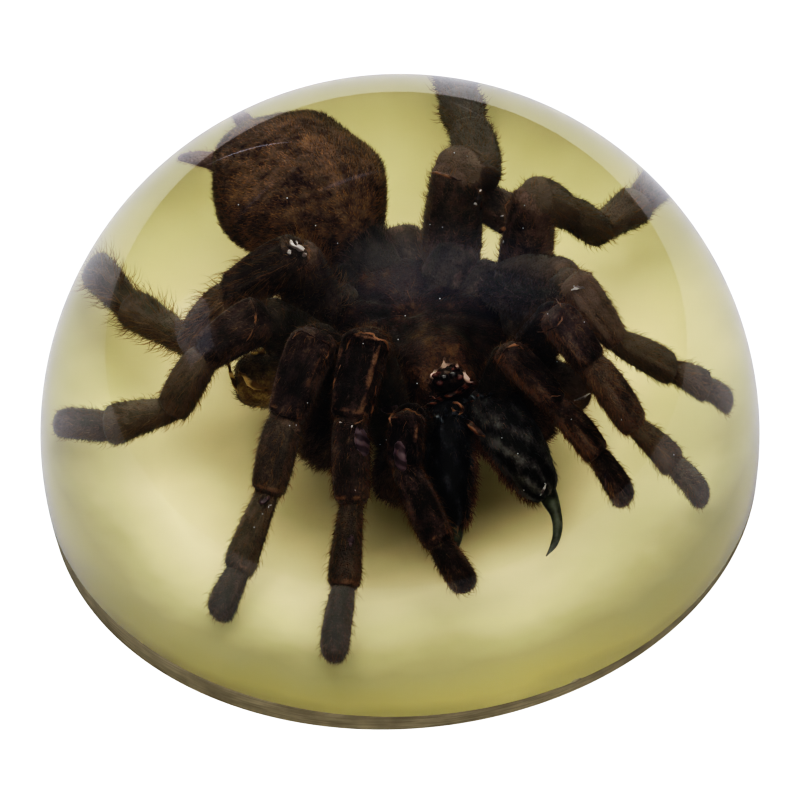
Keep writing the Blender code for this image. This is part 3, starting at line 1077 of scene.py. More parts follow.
@dataclass
class SegmentMould:
    """Models each kind of segment once, so that limbs can be made from copies."""

    sides: int = 24
    crest: float = 50.0              # degrees from the middle of the back to a ridge
    crest_width: float = 9.0
    rim_width: float = 0.035
    streak_width: float = 0.6        # of a lengthwise streak of darker and paler hair, in millimetres
    streak_length: float = 3.0
    streak_depth: float = 0.22
    moulds: dict[Segment, Mesh] = field(default_factory=dict)

    def draw(self, kind: Segment) -> Object:
        """Draw a ring out through the stations of one kind of segment, in edit mode.

        Args:
            kind: which segment.

        Returns:
            The piece, with length 1 and radius 1.
        """
        stations = SHAPES[kind].stations
        select()
        bpy.ops.mesh.primitive_circle_add(vertices=self.sides, radius=stations[0][1], fill_type="NGON",
                                          location=(0.0, 0.0, 0.0))
        piece = bpy.context.object
        piece.data.transform(Matrix.Translation((0.0, 0.0, stations[0][0])))
        bpy.ops.object.mode_set(mode="EDIT")
        bpy.ops.mesh.select_all(action="SELECT")
        for (low, before), (high, after) in zip(stations, stations[1:]):
            bpy.ops.mesh.extrude_region_move(TRANSFORM_OT_translate={"value": (0.0, 0.0, high - low)})
            bpy.ops.transform.resize(value=(after / before, after / before, 1.0),
                                     center_override=(0.0, 0.0, high))
        face_outwards()
        return piece

    def shape(self, kind: Segment) -> Mesh:
        """Model one kind of segment, and keep it.

        Args:
            kind: which segment.

        Returns:
            Its mesh, with length 1 and radius 1.
        """
        if kind not in self.moulds:
            piece = self.draw(kind)
            subdivide(piece, 1)
            self.sink_back(piece.data, SHAPES[kind])
            mesh = piece.data
            mesh.name = f"{kind.value} mould"
            bpy.data.objects.remove(piece, do_unlink=True)
            self.moulds[kind] = mesh
        return self.moulds[kind]

    def sink_back(self, mesh: Mesh, shape: SegmentShape) -> None:
        """Sink the back, raise the rims, and note where hair grows.

        Args:
            mesh: the segment's mesh.
            shape: what it should be like.
        """
        points = vertex_array(mesh)
        along = points[:, 2]
        angle = np.degrees(np.arctan2(np.abs(points[:, 0]), points[:, 1]))
        middle = smooth_step(0.0, 0.12, along) * smooth_step(1.02, 0.9, along)
        back = 1.0 - smooth_step(self.crest - 18.0, self.crest - 2.0, angle)
        crest = ridge(angle, self.crest, self.crest_width) * middle
        rim = np.zeros(len(points))
        for height in shape.rims:
            rim = np.maximum(rim, ridge(along, height, self.rim_width))
        rim *= smooth_step(115.0, 80.0, angle)
        swell = 1.0 - shape.sunk * back * middle * (1.0 - 0.35 * (angle / self.crest) ** 2)
        swell += 0.30 * shape.sunk * crest + 0.07 * rim
        points[:, :2] *= swell[:, None]
        move_vertices(mesh, points)
        # the rims' pale colour is partly a painted highlight where the joints glint
        pale = np.clip(np.maximum(rim, shape.ridge_line * crest), 0.0, 1.0)
        set_attribute(mesh, "rim", pale)
        set_attribute(mesh, "bare", 1.0 - (1.0 - 0.85 * pale) * (1.0 - shape.bare_back * back * middle))
        # painted light and shade: paler towards the sides, darker on the sunken back as painted shade in its
        # hollow
        set_attribute(mesh, "shade", 0.16 * smooth_step(45.0, 90.0, angle) - 0.10 * back * middle)
        below = smooth_step(110.0, 150.0, angle)
        set_attribute(mesh, "fringe", shape.brush * below * smooth_step(0.1, 0.3, along))

    def place(self, kind: Segment, start: Vector, end: Vector, back: Vector,
              radii: tuple[float, float], bow: float = 0.0, wear: float = 0.3) -> Object:
        """Copy a segment into its place.

        Args:
            kind: which segment.
            start: the middle of its inner end.
            end: the middle of its outer end.
            back: the direction that its back faces.
            radii: its radius at either end.
            bow: how far its middle stands out towards its back.
            wear: how much of its hair the rims and the back have lost.

        Returns:
            The copy, with the grain of its hair.
        """
        mesh = self.shape(kind).copy()
        points = vertex_array(mesh)
        run = end - start
        ahead = run.normalized()
        side = back.cross(ahead).normalized()
        top = ahead.cross(side).normalized()
        axes = np.array((side, top, ahead))
        along = points[:, 2]
        radius = radii[0] + (radii[1] - radii[0]) * np.clip(along, 0.0, 1.0)
        local = np.stack((points[:, 0] * radius, points[:, 1] * radius + bow * 4.0 * along * (1.0 - along),
                          along * run.length), axis=1)
        placed = local @ axes + np.array(start)
        move_vertices(mesh, placed)
        set_attribute(mesh, "grain", np.tile(np.array(ahead), (len(points), 1)))
        set_attribute(mesh, "cover", 1.0 - get_attribute(mesh, "bare") * wear)
        set_attribute(mesh, "rim", get_attribute(mesh, "rim") * wear * patches_over(mesh, 0.9, 0.35))
        add_mottle(mesh, 1.4, 0.14)
        self.add_streaks(mesh, local)
        return add_object(kind.value, mesh)

    def add_streaks(self, mesh: Mesh, local: np.ndarray) -> None:
        """Vary the shade in streaks along the segment.

        Args:
            mesh: the placed segment.
            local: its points with their length along Z.
        """
        squeeze = np.array((1.0, 1.0, self.streak_width / self.streak_length))
        stretched = local * squeeze / (self.streak_width * MM)
        streaks = np.array([noise.noise(Vector(point)) for point in stretched])
        add_shade(mesh, self.streak_depth * streaks)


def noise_over(mesh: Mesh, width: float) -> np.ndarray:
    """Soft noise around 0 at the mesh's points, with patches of a width given in millimetres.

    Args:
        mesh: the skin.
        width: a patch's width in millimetres.

    Returns:
        One number for each point.
    """
    scale = 1.0 / (width * MM)
    return np.array([noise.noise(Vector(point) * scale) + 0.5 * noise.noise(Vector(point) * scale * 2.7)
                     for point in vertex_array(mesh)])


def patches_over(mesh: Mesh, width: float, least: float) -> np.ndarray:
    """Shares from the least one to 1 at the mesh's points, in patches of a width in millimetres."""
    return least + (1.0 - least) * smooth_step(-0.25, 0.3, noise_over(mesh, width))


def add_mottle(mesh: Mesh, width: float, amount: float) -> None:
    """Vary the hair's shade over the skin in soft patches.

    Args:
        mesh: the skin.
        width: a patch's width in millimetres.
        amount: how far the shade goes up and down.
    """
    add_shade(mesh, amount * noise_over(mesh, width))


LEG_SEGMENTS = (Segment.FEMUR, Segment.PATELLA, Segment.TIBIA, Segment.METATARSUS, Segment.TARSUS)
PALP_SEGMENTS = (Segment.FEMUR, Segment.PATELLA, Segment.TIBIA, Segment.TARSUS)
LEG_RADII = (2.55, 2.4, 2.05, 1.7, 1.5, 1.6)


@dataclass
class Limb:
    """A leg or a palp: its skin in jointed segments, and the hair on it."""

    name: str
    joints: tuple[Point, ...]
    segments: tuple[Segment, ...] = LEG_SEGMENTS
    radii: tuple[float, ...] = LEG_RADII
    bristles: Coat = LEG_BRISTLES
    coxa_radius: float = 2.4
    coxa_along: float = 0.7          # where the coxa starts, as shares of the hip's distance
    coxa_aside: float = 0.3          # from the middle of the sternum
    wear: float = 0.2
    shades: tuple[float, ...] = (0.0,) * 5     # its tone's offset, with painted light and shade in it
    haze_shares: tuple[float, ...] = (0.0,) * 5      # how much painted haze greys each segment
    hair: Hair = BROWN_HAIR
    seed: int = 1

    def back(self) -> Vector:
        """Direction from the line between hip and foot to the knee, which every back faces.

        Returns:
            The direction, with length 1.
        """
        hip, knee, foot = (Vector(self.joints[number]) for number in (0, 1, -1))
        chord = (foot - hip).normalized()
        out = (knee - hip) - chord * (knee - hip).dot(chord)
        return out.normalized()

    def coxa_root(self) -> Vector:
        """Where the coxa starts under the body.

        Returns:
            The place, in millimetres.
        """
        centre = Vector(BODY_CENTRE)
        beside = BODY_TURN.inverted() @ (Vector(self.joints[0]) - centre)
        return centre + BODY_TURN @ Vector((beside.x * self.coxa_along, beside.y * self.coxa_aside, 0.0))

    def skin(self, mould: SegmentMould) -> Object:
        """Lay the segments along the joints and join them.

        Args:
            mould: the segments' moulds.

        Returns:
            The skin, as one piece.
        """
        points = [Vector(point) * MM for point in self.joints]
        sizes = [radius * MM for radius in self.radii]
        back = self.back()
        pieces = [mould.place(Segment.COXA, self.coxa_root() * MM, points[0], UPWARDS,
                              (self.coxa_radius * MM, sizes[0]))]
        for number, kind in enumerate(self.segments):
            ends = (sizes[number], sizes[number + 1])
            pieces.append(mould.place(kind, points[number], points[number + 1], back, ends, bow=0.25 * MM,
                                      wear=self.wear))
            mesh = pieces[-1].data
            set_attribute(mesh, "painted_haze", np.full(len(mesh.vertices), self.haze_shares[number]))
            add_shade(mesh, self.shades[number])
        return join(self.name, pieces)

    def build(self, mould: SegmentMould) -> None:
        """Make the skin and its hair.

        Args:
            mould: the segments' moulds.
        """
        skin = self.skin(mould)
        skin.data.shade_smooth()
        fur = Fur(skin, self.seed)
        pile = fur.grow(f"{self.name}_pile", (LEG_PILE, FOOT_BRUSH))
        bristles = fur.grow(f"{self.name}_bristles", (self.bristles,))
        add_to_spider(skin, LIMB_CUTICLE)
        add_to_spider(pile, self.hair)
        add_to_spider(bristles, LONG_HAIR)


LIMBS = (
    Limb("right_leg_1", ((-0.9, -8.0, 12.5), (-2.4, -8.2, 25.2), (-4.7, -14.4, 21.0), (-5.2, -19.9, 15.0),
                         (-6.9, -26.4, 9.5), (-9.05, -35.1, 6.9)), wear=1.0, hair=RUSTY_HAIR, seed=11,
         shades=(-0.1, -0.12, 0, 0.04, -0.01), haze_shares=(0.35, 0.04, 0.12, 0.28, 0.42)),
    Limb("right_leg_2", ((-3.5, -4.1, 12.5), (-7.4, -7.2, 24.8), (-10.8, -13.0, 20.5), (-13.2, -17.4, 15.0),
                         (-17.2, -22.8, 9.5), (-20.2, -26.9, 7.0)), wear=0.7, seed=12,
         shades=(-0.28, -0.02, 0.1, 0.2, 0.09), haze_shares=(0.1, 0.03, 0.28, 0.5, 0.52)),
    Limb("right_leg_3", ((-4.8, 0.2, 12.5), (-11.9, -1.0, 22.0), (-17.6, -2.7, 19.6), (-20.7, -4.1, 14.0),
                         (-26.4, -1.2, 9.8), (-32.3, 2.0, 7.9)), radii=(2.5, 2.35, 1.95, 1.7, 1.75, 1.3),
         wear=0.6, seed=13, shades=(-0.18, -0.03, 0.31, 0.35, 0.15), haze_shares=(0.28, 0.08, 0.46, 0.6, 0.5)),
    Limb("right_leg_4", ((-5.1, 4.7, 12.5), (-8.1, 4.2, 24.3), (-14.1, 4.1, 19.8), (-17.4, 4.7, 12.8),
                         (-21.3, 12.1, 10.0), (-22.9, 18.4, 8.0)), bristles=REAR_BRISTLES, wear=0.3, seed=14,
         shades=(0.04, -0.05, 0.28, 0.17, 0.04), haze_shares=(0.22, 0.14, 0.32, 0.55, 0.5)),
    Limb("left_leg_1", ((10.0, -3.9, 12.5), (16.3, -7.1, 25.5), (19.4, -10.5, 22.0), (23.1, -13.3, 15.5),
                        (27.0, -14.7, 11.0), (31.2, -18.1, 8.5)), radii=(2.4, 2.05, 1.95, 1.65, 1.5, 1.5),
         wear=0.45, hair=RUSTY_HAIR, seed=21,
         shades=(-0.22, 0.06, 0.23, 0.28, 0.24), haze_shares=(0.06, 0.06, 0.26, 0.5, 0.6)),
    Limb("left_leg_2", ((9.8, 2.4, 12.5), (18.2, -2.1, 24.4), (21.7, -5.9, 19.9), (26.2, -4.5, 14.0),
                        (29.6, -3.7, 10.5), (32.1, -3.6, 8.0)), radii=(2.3, 2.05, 1.55, 1.65, 1.45, 1.3),
         seed=22, shades=(0.14, 0.37, 0.42, 0.38, 0.37), haze_shares=(0.4, 0.28, 0.62, 0.46, 0.5)),
    Limb("left_leg_3", ((11.2, 6.8, 12.5), (14.3, 9.7, 23.8), (16.7, 10.6, 19.6), (18.5, 11.7, 15.0),
                        (20.8, 17.4, 11.0), (22.4, 21.5, 9.0)), radii=(2.3, 2.1, 1.9, 1.6, 1.5, 1.5),
         seed=23, shades=(0.2, 0.32, 0.6, 0.34, 0.2), haze_shares=(0.08, 0.58, 0.7, 0.56, 0.4)),
    Limb("left_leg_4", ((4.9, 8.4, 12.5), (7.4, 12.0, 25.8), (9.2, 13.7, 21.8), (7.7, 22.0, 16.0),
                        (6.4, 26.6, 11.0), (5.5, 30.6, 8.0)), seed=24,
         shades=(0.14, 0.24, 0.04, 0.08, 0), haze_shares=(0.28, 0.45, 0.5, 0.54, 0.45)),
    Limb("right_palp", ((2.2, -9.7, 13.0), (0.9, -14.0, 20.0), (0.2, -17.2, 16.5), (3.0, -23.9, 12.0),
                        (5.25, -26.8, 8.5)), PALP_SEGMENTS, (1.6, 1.7, 1.75, 1.6, 1.5), coxa_radius=2.0,
         wear=0.8, hair=RUSTY_HAIR, seed=31, shades=(-0.5, -0.11, -0.03, -0.02), haze_shares=(0, 0, 0.02, 0.1)),
    Limb("left_palp", ((8.0, -8.1, 13.0), (11.0, -8.6, 22.0), (15.1, -11.4, 17.5), (18.6, -13.6, 12.5),
                       (21.2, -16.7, 9.0)), PALP_SEGMENTS, (1.6, 1.7, 1.5, 1.4, 1.4), coxa_radius=2.0,
         wear=0.5, hair=RUSTY_HAIR, seed=32, shades=(-0.3, 0, 0.1, -0.05), haze_shares=(0.2, 0.05, 0.1, 0.1)),
)


# ----------------------------------------
# Body
# ----------------------------------------

def rounded(name: str, half_sizes: Point, segments: int, rings: int) -> Object:
    """Add a ball with its poles along X and draw it out to its half sizes.

    Args:
        name: the piece's name.
        half_sizes: half its length, width and height in millimetres.
        segments: faces round it.
        rings: faces from pole to pole.

    Returns:
        The piece, at the origin.
    """
    select()
    bpy.ops.mesh.primitive_uv_sphere_add(segments=segments, ring_count=rings, radius=MM)
    piece = rename(bpy.context.object, name)
    piece.data.transform(Matrix.Rotation(math.pi / 2, 4, "Y"))
    bpy.ops.object.mode_set(mode="EDIT")
    bpy.ops.mesh.select_all(action="SELECT")
    bpy.ops.transform.resize(value=half_sizes, center_override=(0.0, 0.0, 0.0))
    bpy.ops.object.mode_set(mode="OBJECT")
    return piece


@dataclass
class Abdomen:
    """The velvety abdomen, with the dents of drying, and its two long spinnerets."""

    centre: Point = (-6.55, 17.6, 16.5)
    half_sizes: Point = (8.25, 6.6, 5.75)
    heading: float = 128.0
    dent: float = 0.28               # depth of the dents in millimetres
    dent_width: float = 4.5
    seed: int = 41
    spinnerets: tuple[tuple[Point, Point], ...] = (((-11.6, 21.6, 14.9), (-15.6, 23.8, 14.3)),
                                                   ((-9.0, 23.2, 15.3), (-10.7, 27.3, 14.9)))
    spinneret_radii: tuple[float, float] = (0.95, 0.55)
    spinneret_shade: float = 0.5
    mottles: tuple[tuple[float, float], ...] = ((0.8, 0.26), (3.0, 0.14))     # widths and depths of patches

    def skin(self) -> Object:
        """Shape the abdomen.

        Returns:
            The skin, in its place.
        """
        piece = rounded("abdomen", self.half_sizes, 96, 64)
        points = vertex_array(piece.data) / MM
        share = points[:, 0] / self.half_sizes[0]
        narrow = 1.0 - 0.10 * smooth_step(0.3, 1.0, share) - 0.12 * smooth_step(-0.4, -1.0, share)
        points[:, 1:] *= narrow[:, None]
        waves = np.array([noise.noise(Vector(point) / self.dent_width) for point in points])
        normals = unit_rows(points / np.array(self.half_sizes) ** 2)
        points += normals * (waves * self.dent * 2.0)[:, None]
        grain = unit_rows(np.stack((np.ones(len(points)), 0.25 * points[:, 1] / self.half_sizes[1],
                                    -0.35 * np.ones(len(points))), axis=1))
        turn = Matrix.Rotation(math.radians(self.heading), 3, "Z")
        move_vertices(piece.data, points * MM)
        set_attribute(piece.data, "grain", grain @ np.array(turn).T)
        set_attribute(piece.data, "cover", np.ones(len(points)))
        settle(piece, self.centre, self.heading)
        for width, amount in self.mottles:
            add_mottle(piece.data, width, amount)
        piece.data.shade_smooth()
        return piece

    def spinneret_skins(self, mould: SegmentMould) -> Object:
        """The two long spinnerets, each of three rings.

        Args:
            mould: the segments' moulds.

        Returns:
            The two, as one piece.
        """
        radii = (self.spinneret_radii[0] * MM, self.spinneret_radii[1] * MM)
        pieces = [mould.place(Segment.STUB, Vector(start) * MM, Vector(end) * MM, UPWARDS, radii)
                  for start, end in self.spinnerets]
        stubs = join("spinnerets", pieces)
        add_shade(stubs.data, self.spinneret_shade)
        stubs.data.shade_smooth()
        return stubs

    def build(self, mould: SegmentMould) -> None:
        """Make the abdomen, its velvet and the spinnerets.

        Args:
            mould: the segments' moulds.
        """
        skin = self.skin()
        fur = Fur(skin, self.seed)
        velvet = fur.grow("abdomen_velvet", (VELVET,))
        bristles = fur.grow("abdomen_bristles", (BODY_BRISTLES,))
        stubs = self.spinneret_skins(mould)
        stub_hair = Fur(stubs, self.seed + 1).grow("spinneret_hair", (LEG_PILE, BODY_BRISTLES))
        add_to_spider(skin, BELLY_SKIN)
        add_to_spider(velvet, GOLDEN_VELVET)
        add_to_spider(bristles, LONG_HAIR)
        add_to_spider(stubs, LIMB_CUTICLE)
        add_to_spider(stub_hair, BROWN_HAIR)


@dataclass
class Carapace:
    """The shield over the front body: a raised head, a pit in its middle, and furrows out from the pit."""

    centre: Point = (2.5, 0.2, 14.6)
    half_sizes: Point = (10.1, 8.2, 3.6)
    pitch: float = 3.0
    head_rise: float = 1.7
    furrow_depth: float = 0.38
    furrows: tuple[float, ...] = (38.0, 72.0, 105.0, 140.0)    # degrees from the front, on either side
    pit: tuple[float, float] = (-1.6, 0.0)
    seed: int = 51

    def skin(self) -> Object:
        """Shape the shield.

        Returns:
            The skin, in its place.
        """
        piece = rounded("carapace", self.half_sizes, 96, 64)
        points = vertex_array(piece.data) / MM
        forward, aside = points[:, 0].copy(), points[:, 1].copy()
        points[:, 1] *= 1.0 - 0.22 * smooth_step(2.0, 10.0, forward)
        top = smooth_step(0.0, 1.2, points[:, 2])
        head = smooth_step(-1.0, 5.0, forward) * (1.0 - smooth_step(2.6, 4.6, np.abs(aside)))
        out = np.stack((forward - self.pit[0], aside - self.pit[1]), axis=1)
        reach = np.linalg.norm(out, axis=1)
        angle = np.degrees(np.arctan2(np.abs(out[:, 1]), out[:, 0]))
        furrow = sum(ridge(angle, at, 6.0 + 10.0 / (1.0 + float(number))) for number, at in
                     enumerate(self.furrows))
        furrow = furrow * smooth_step(0.8, 2.5, reach) * smooth_step(8.8, 5.5, reach)
        dip = np.exp(-(out[:, 0] / 0.55) ** 2 - (out[:, 1] / 1.1) ** 2)
        rise = self.head_rise * head - self.furrow_depth * furrow - 0.9 * dip
        points[:, 2] += top * rise
        mesh = piece.data
        move_vertices(mesh, points * MM)
        grain = np.stack((out[:, 0], out[:, 1], -0.3 * reach), axis=1)
        set_attribute(mesh, "grain", unit_rows(grain) @ np.array(BODY_TURN).T)
        set_attribute(mesh, "cover", 0.35 + 0.65 * (1.0 - np.clip(furrow, 0.0, 1.0)) * top)
        # darker in the furrows, as painted shade in them, and paler over the head
        set_attribute(mesh, "shade", 0.14 * head - 0.2 * np.clip(furrow, 0.0, 1.0))
        settle(piece, self.centre, BODY_HEADING, self.pitch)
        add_mottle(mesh, 1.4, 0.18)
        mesh.shade_smooth()
        return piece

    def build(self) -> None:
        """Make the shield and its pile."""
        skin = self.skin()
        fur = Fur(skin, self.seed)
        add_to_spider(fur.grow("carapace_pile", (SHIELD_PILE,)), SHIELD_HAIR)
        add_to_spider(fur.grow("carapace_bristles", (BODY_BRISTLES,)), SHIELD_HAIR)
        add_to_spider(skin, SHIELD_CUTICLE)


@dataclass
class Eyes:
    """The eye mound: eight lenses close together, with pale bare skin behind them."""

    centre: Point = (4.9, -8.0, 18.75)
    half_sizes: Point = (1.2, 1.5, 1.0)
    lenses: tuple[tuple[float, float, float, bool], ...] = (
        (0.55, 0.42, 0.36, False), (0.55, -0.42, 0.36, False), (0.85, 1.0, 0.30, True),
        (0.85, -1.0, 0.30, True), (-0.15, 1.15, 0.26, True), (-0.15, -1.15, 0.26, True),
        (-0.2, 0.75, 0.22, True), (-0.2, -0.75, 0.22, True))
    skin_arc: tuple[Point, ...] = (
        (3.15, -8.5, 18.9), (3.4, -8.2, 19.3), (3.9, -7.75, 19.5), (4.5, -7.2, 19.6), (5.3, -6.95, 19.7),
        (6.0, -7.35, 19.6), (6.45, -7.95, 19.3), (6.7, -8.4, 18.8), (7.2, -8.3, 18.3))
    skin_radii: tuple[float, ...] = (0.06, 0.20, 0.13, 0.17, 0.12, 0.15, 0.10, 0.26, 0.07)
    spur: tuple[Point, ...] = ((4.6, -7.3, 19.7), (4.75, -6.9, 20.1), (4.7, -6.6, 20.35))

    def build(self) -> None:
        """Make the mound, the lenses and the skin behind them."""
        mound = rounded("eye_mound", self.half_sizes, 48, 32)
        settle(mound, self.centre, BODY_HEADING)
        mound.data.shade_smooth()
        black, pearly = [], []
        for ahead, aside, radius, is_pearly in self.lenses:
            lens = rounded("lens", (radius, radius * 1.15, radius * 0.8), 24, 16)
            height = self.half_sizes[2] * math.sqrt(max(0.0, 1.0 - (ahead / 1.5) ** 2 - (aside / 1.85) ** 2))
            place = Vector(self.centre) + BODY_TURN @ Vector((ahead, aside, 0.0)) + UPWARDS * height
            settle(lens, tuple(place), BODY_HEADING)
            lens.data.shade_smooth()
            (pearly if is_pearly else black).append(lens)
        skin = self.arc_skin()
        add_to_spider(mound, SHIELD_CUTICLE)
        add_to_spider(join("front_eyes", black), EYE_LENS)
        add_to_spider(join("side_eyes", pearly), PEARL_LENS)
        add_to_spider(skin, PALE_MEMBRANE)

    def arc_skin(self) -> Object:
        """The crescent of pale skin, torn and crumpled, with a spur.

        Returns:
            The crumpled piece.
        """
        arc = draw_tube("eye_skin", self.skin_arc, self.skin_radii)
        piece = join("eye_skin", [arc, draw_tube("spur", self.spur, (0.16, 0.14, 0.05))])
        crumple(piece.data, 0.24, 0.45)
        return piece


def draw_tube(name: str, route: Sequence[Point], radii: Sequence[float]) -> Object:
    """Draw a round bar of changing thickness along a smooth route.

    Args:
        name: the piece's name.
        route: points along its middle, in millimetres.
        radii: its radius at each, in millimetres.

    Returns:
        The closed bar.
    """
    curve = bpy.data.curves.new(name, "CURVE")
    curve.dimensions = "3D"
    curve.bevel_depth = 1.0 * MM
    curve.bevel_resolution = 3
    curve.resolution_u = 6
    curve.use_fill_caps = True
    spline = curve.splines.new("BEZIER")
    spline.bezier_points.add(len(route) - 1)
    for knot, point, radius in zip(spline.bezier_points, route, radii):
        knot.co = Vector(point) * MM
        knot.radius = radius
        knot.handle_left_type = "AUTO"
        knot.handle_right_type = "AUTO"
    select(add_object(name, curve))
    bpy.ops.object.convert(target="MESH")
    piece = bpy.context.object
    bpy.ops.object.mode_set(mode="EDIT")
    bpy.ops.mesh.select_all(action="SELECT")
    bpy.ops.mesh.remove_doubles(threshold=0.001 * MM)
    face_outwards()
    piece.data.shade_smooth()
    return piece


def crumple(mesh: Mesh, depth: float, width: float) -> None:
    """Crumple a small piece as skin does in drying.

    Args:
        mesh: the piece's mesh.
        depth: how far its points move, in millimetres.
        width: a fold's width in millimetres.
    """
    points = vertex_array(mesh)
    pushes = np.array([noise.noise_vector(Vector(point) / (width * MM)) for point in points])
    move_vertices(mesh, points + pushes * depth * MM)


@dataclass(frozen=True)
class Spot:
    """A small thing on the spider: where it sits, the way it faces, and half its sizes in millimetres."""

    place: Point
    facing: Point
    half: Point
    turn: float = 0.0

    def build(self) -> Object:
        """Round it, face it outwards and put it in its place.

        Returns:
            The piece.
        """
        piece = rounded("spot", self.half, 14, 9)
        turn = Vector(self.facing).to_track_quat("Z", "Y").to_matrix().to_4x4()
        piece.data.transform(Matrix.Translation(Vector(self.place) * MM) @ turn
                             @ Matrix.Rotation(math.radians(self.turn), 4, "Z"))
        return piece


@dataclass(frozen=True)
class Strand:
    """A thin fold or thread of dried skin along a route, in millimetres."""

    route: tuple[Point, ...]
    radii: tuple[float, ...]

    def build(self) -> Object:
        """Draw it as a bar."""
        return draw_tube("strand", self.route, self.radii)


@dataclass(frozen=True)
class Trim:
    """One kind of small thing that the spider has in several places, made as one piece."""

    name: str
    finish: Finish
    parts: tuple[Spot | Strand, ...]
    depth: float = 0.12              # how far it is crumpled, in millimetres
    width: float = 0.5

    def build(self) -> None:
        """Make, crumple and dress the parts."""
        piece = join(self.name, [part.build() for part in self.parts])
        if self.depth:
            crumple(piece.data, self.depth, self.width)
        piece.data.shade_smooth()
        add_to_spider(piece, self.finish)


def scatter(spots: Sequence[tuple[Point, Point]], half: Point,
            turns: Sequence[float] = (0.0,)) -> tuple[Spot, ...]:
    """Spots of one size on several places.

    Args:
        spots: each one's place and the way it faces.
        half: half their sizes in millimetres.
        turns: degrees that each is turned, used in order and over again.

    Returns:
        The spots.
    """
    return tuple(Spot(place, facing, half, turns[number % len(turns)])
                 for number, (place, facing) in enumerate(spots))


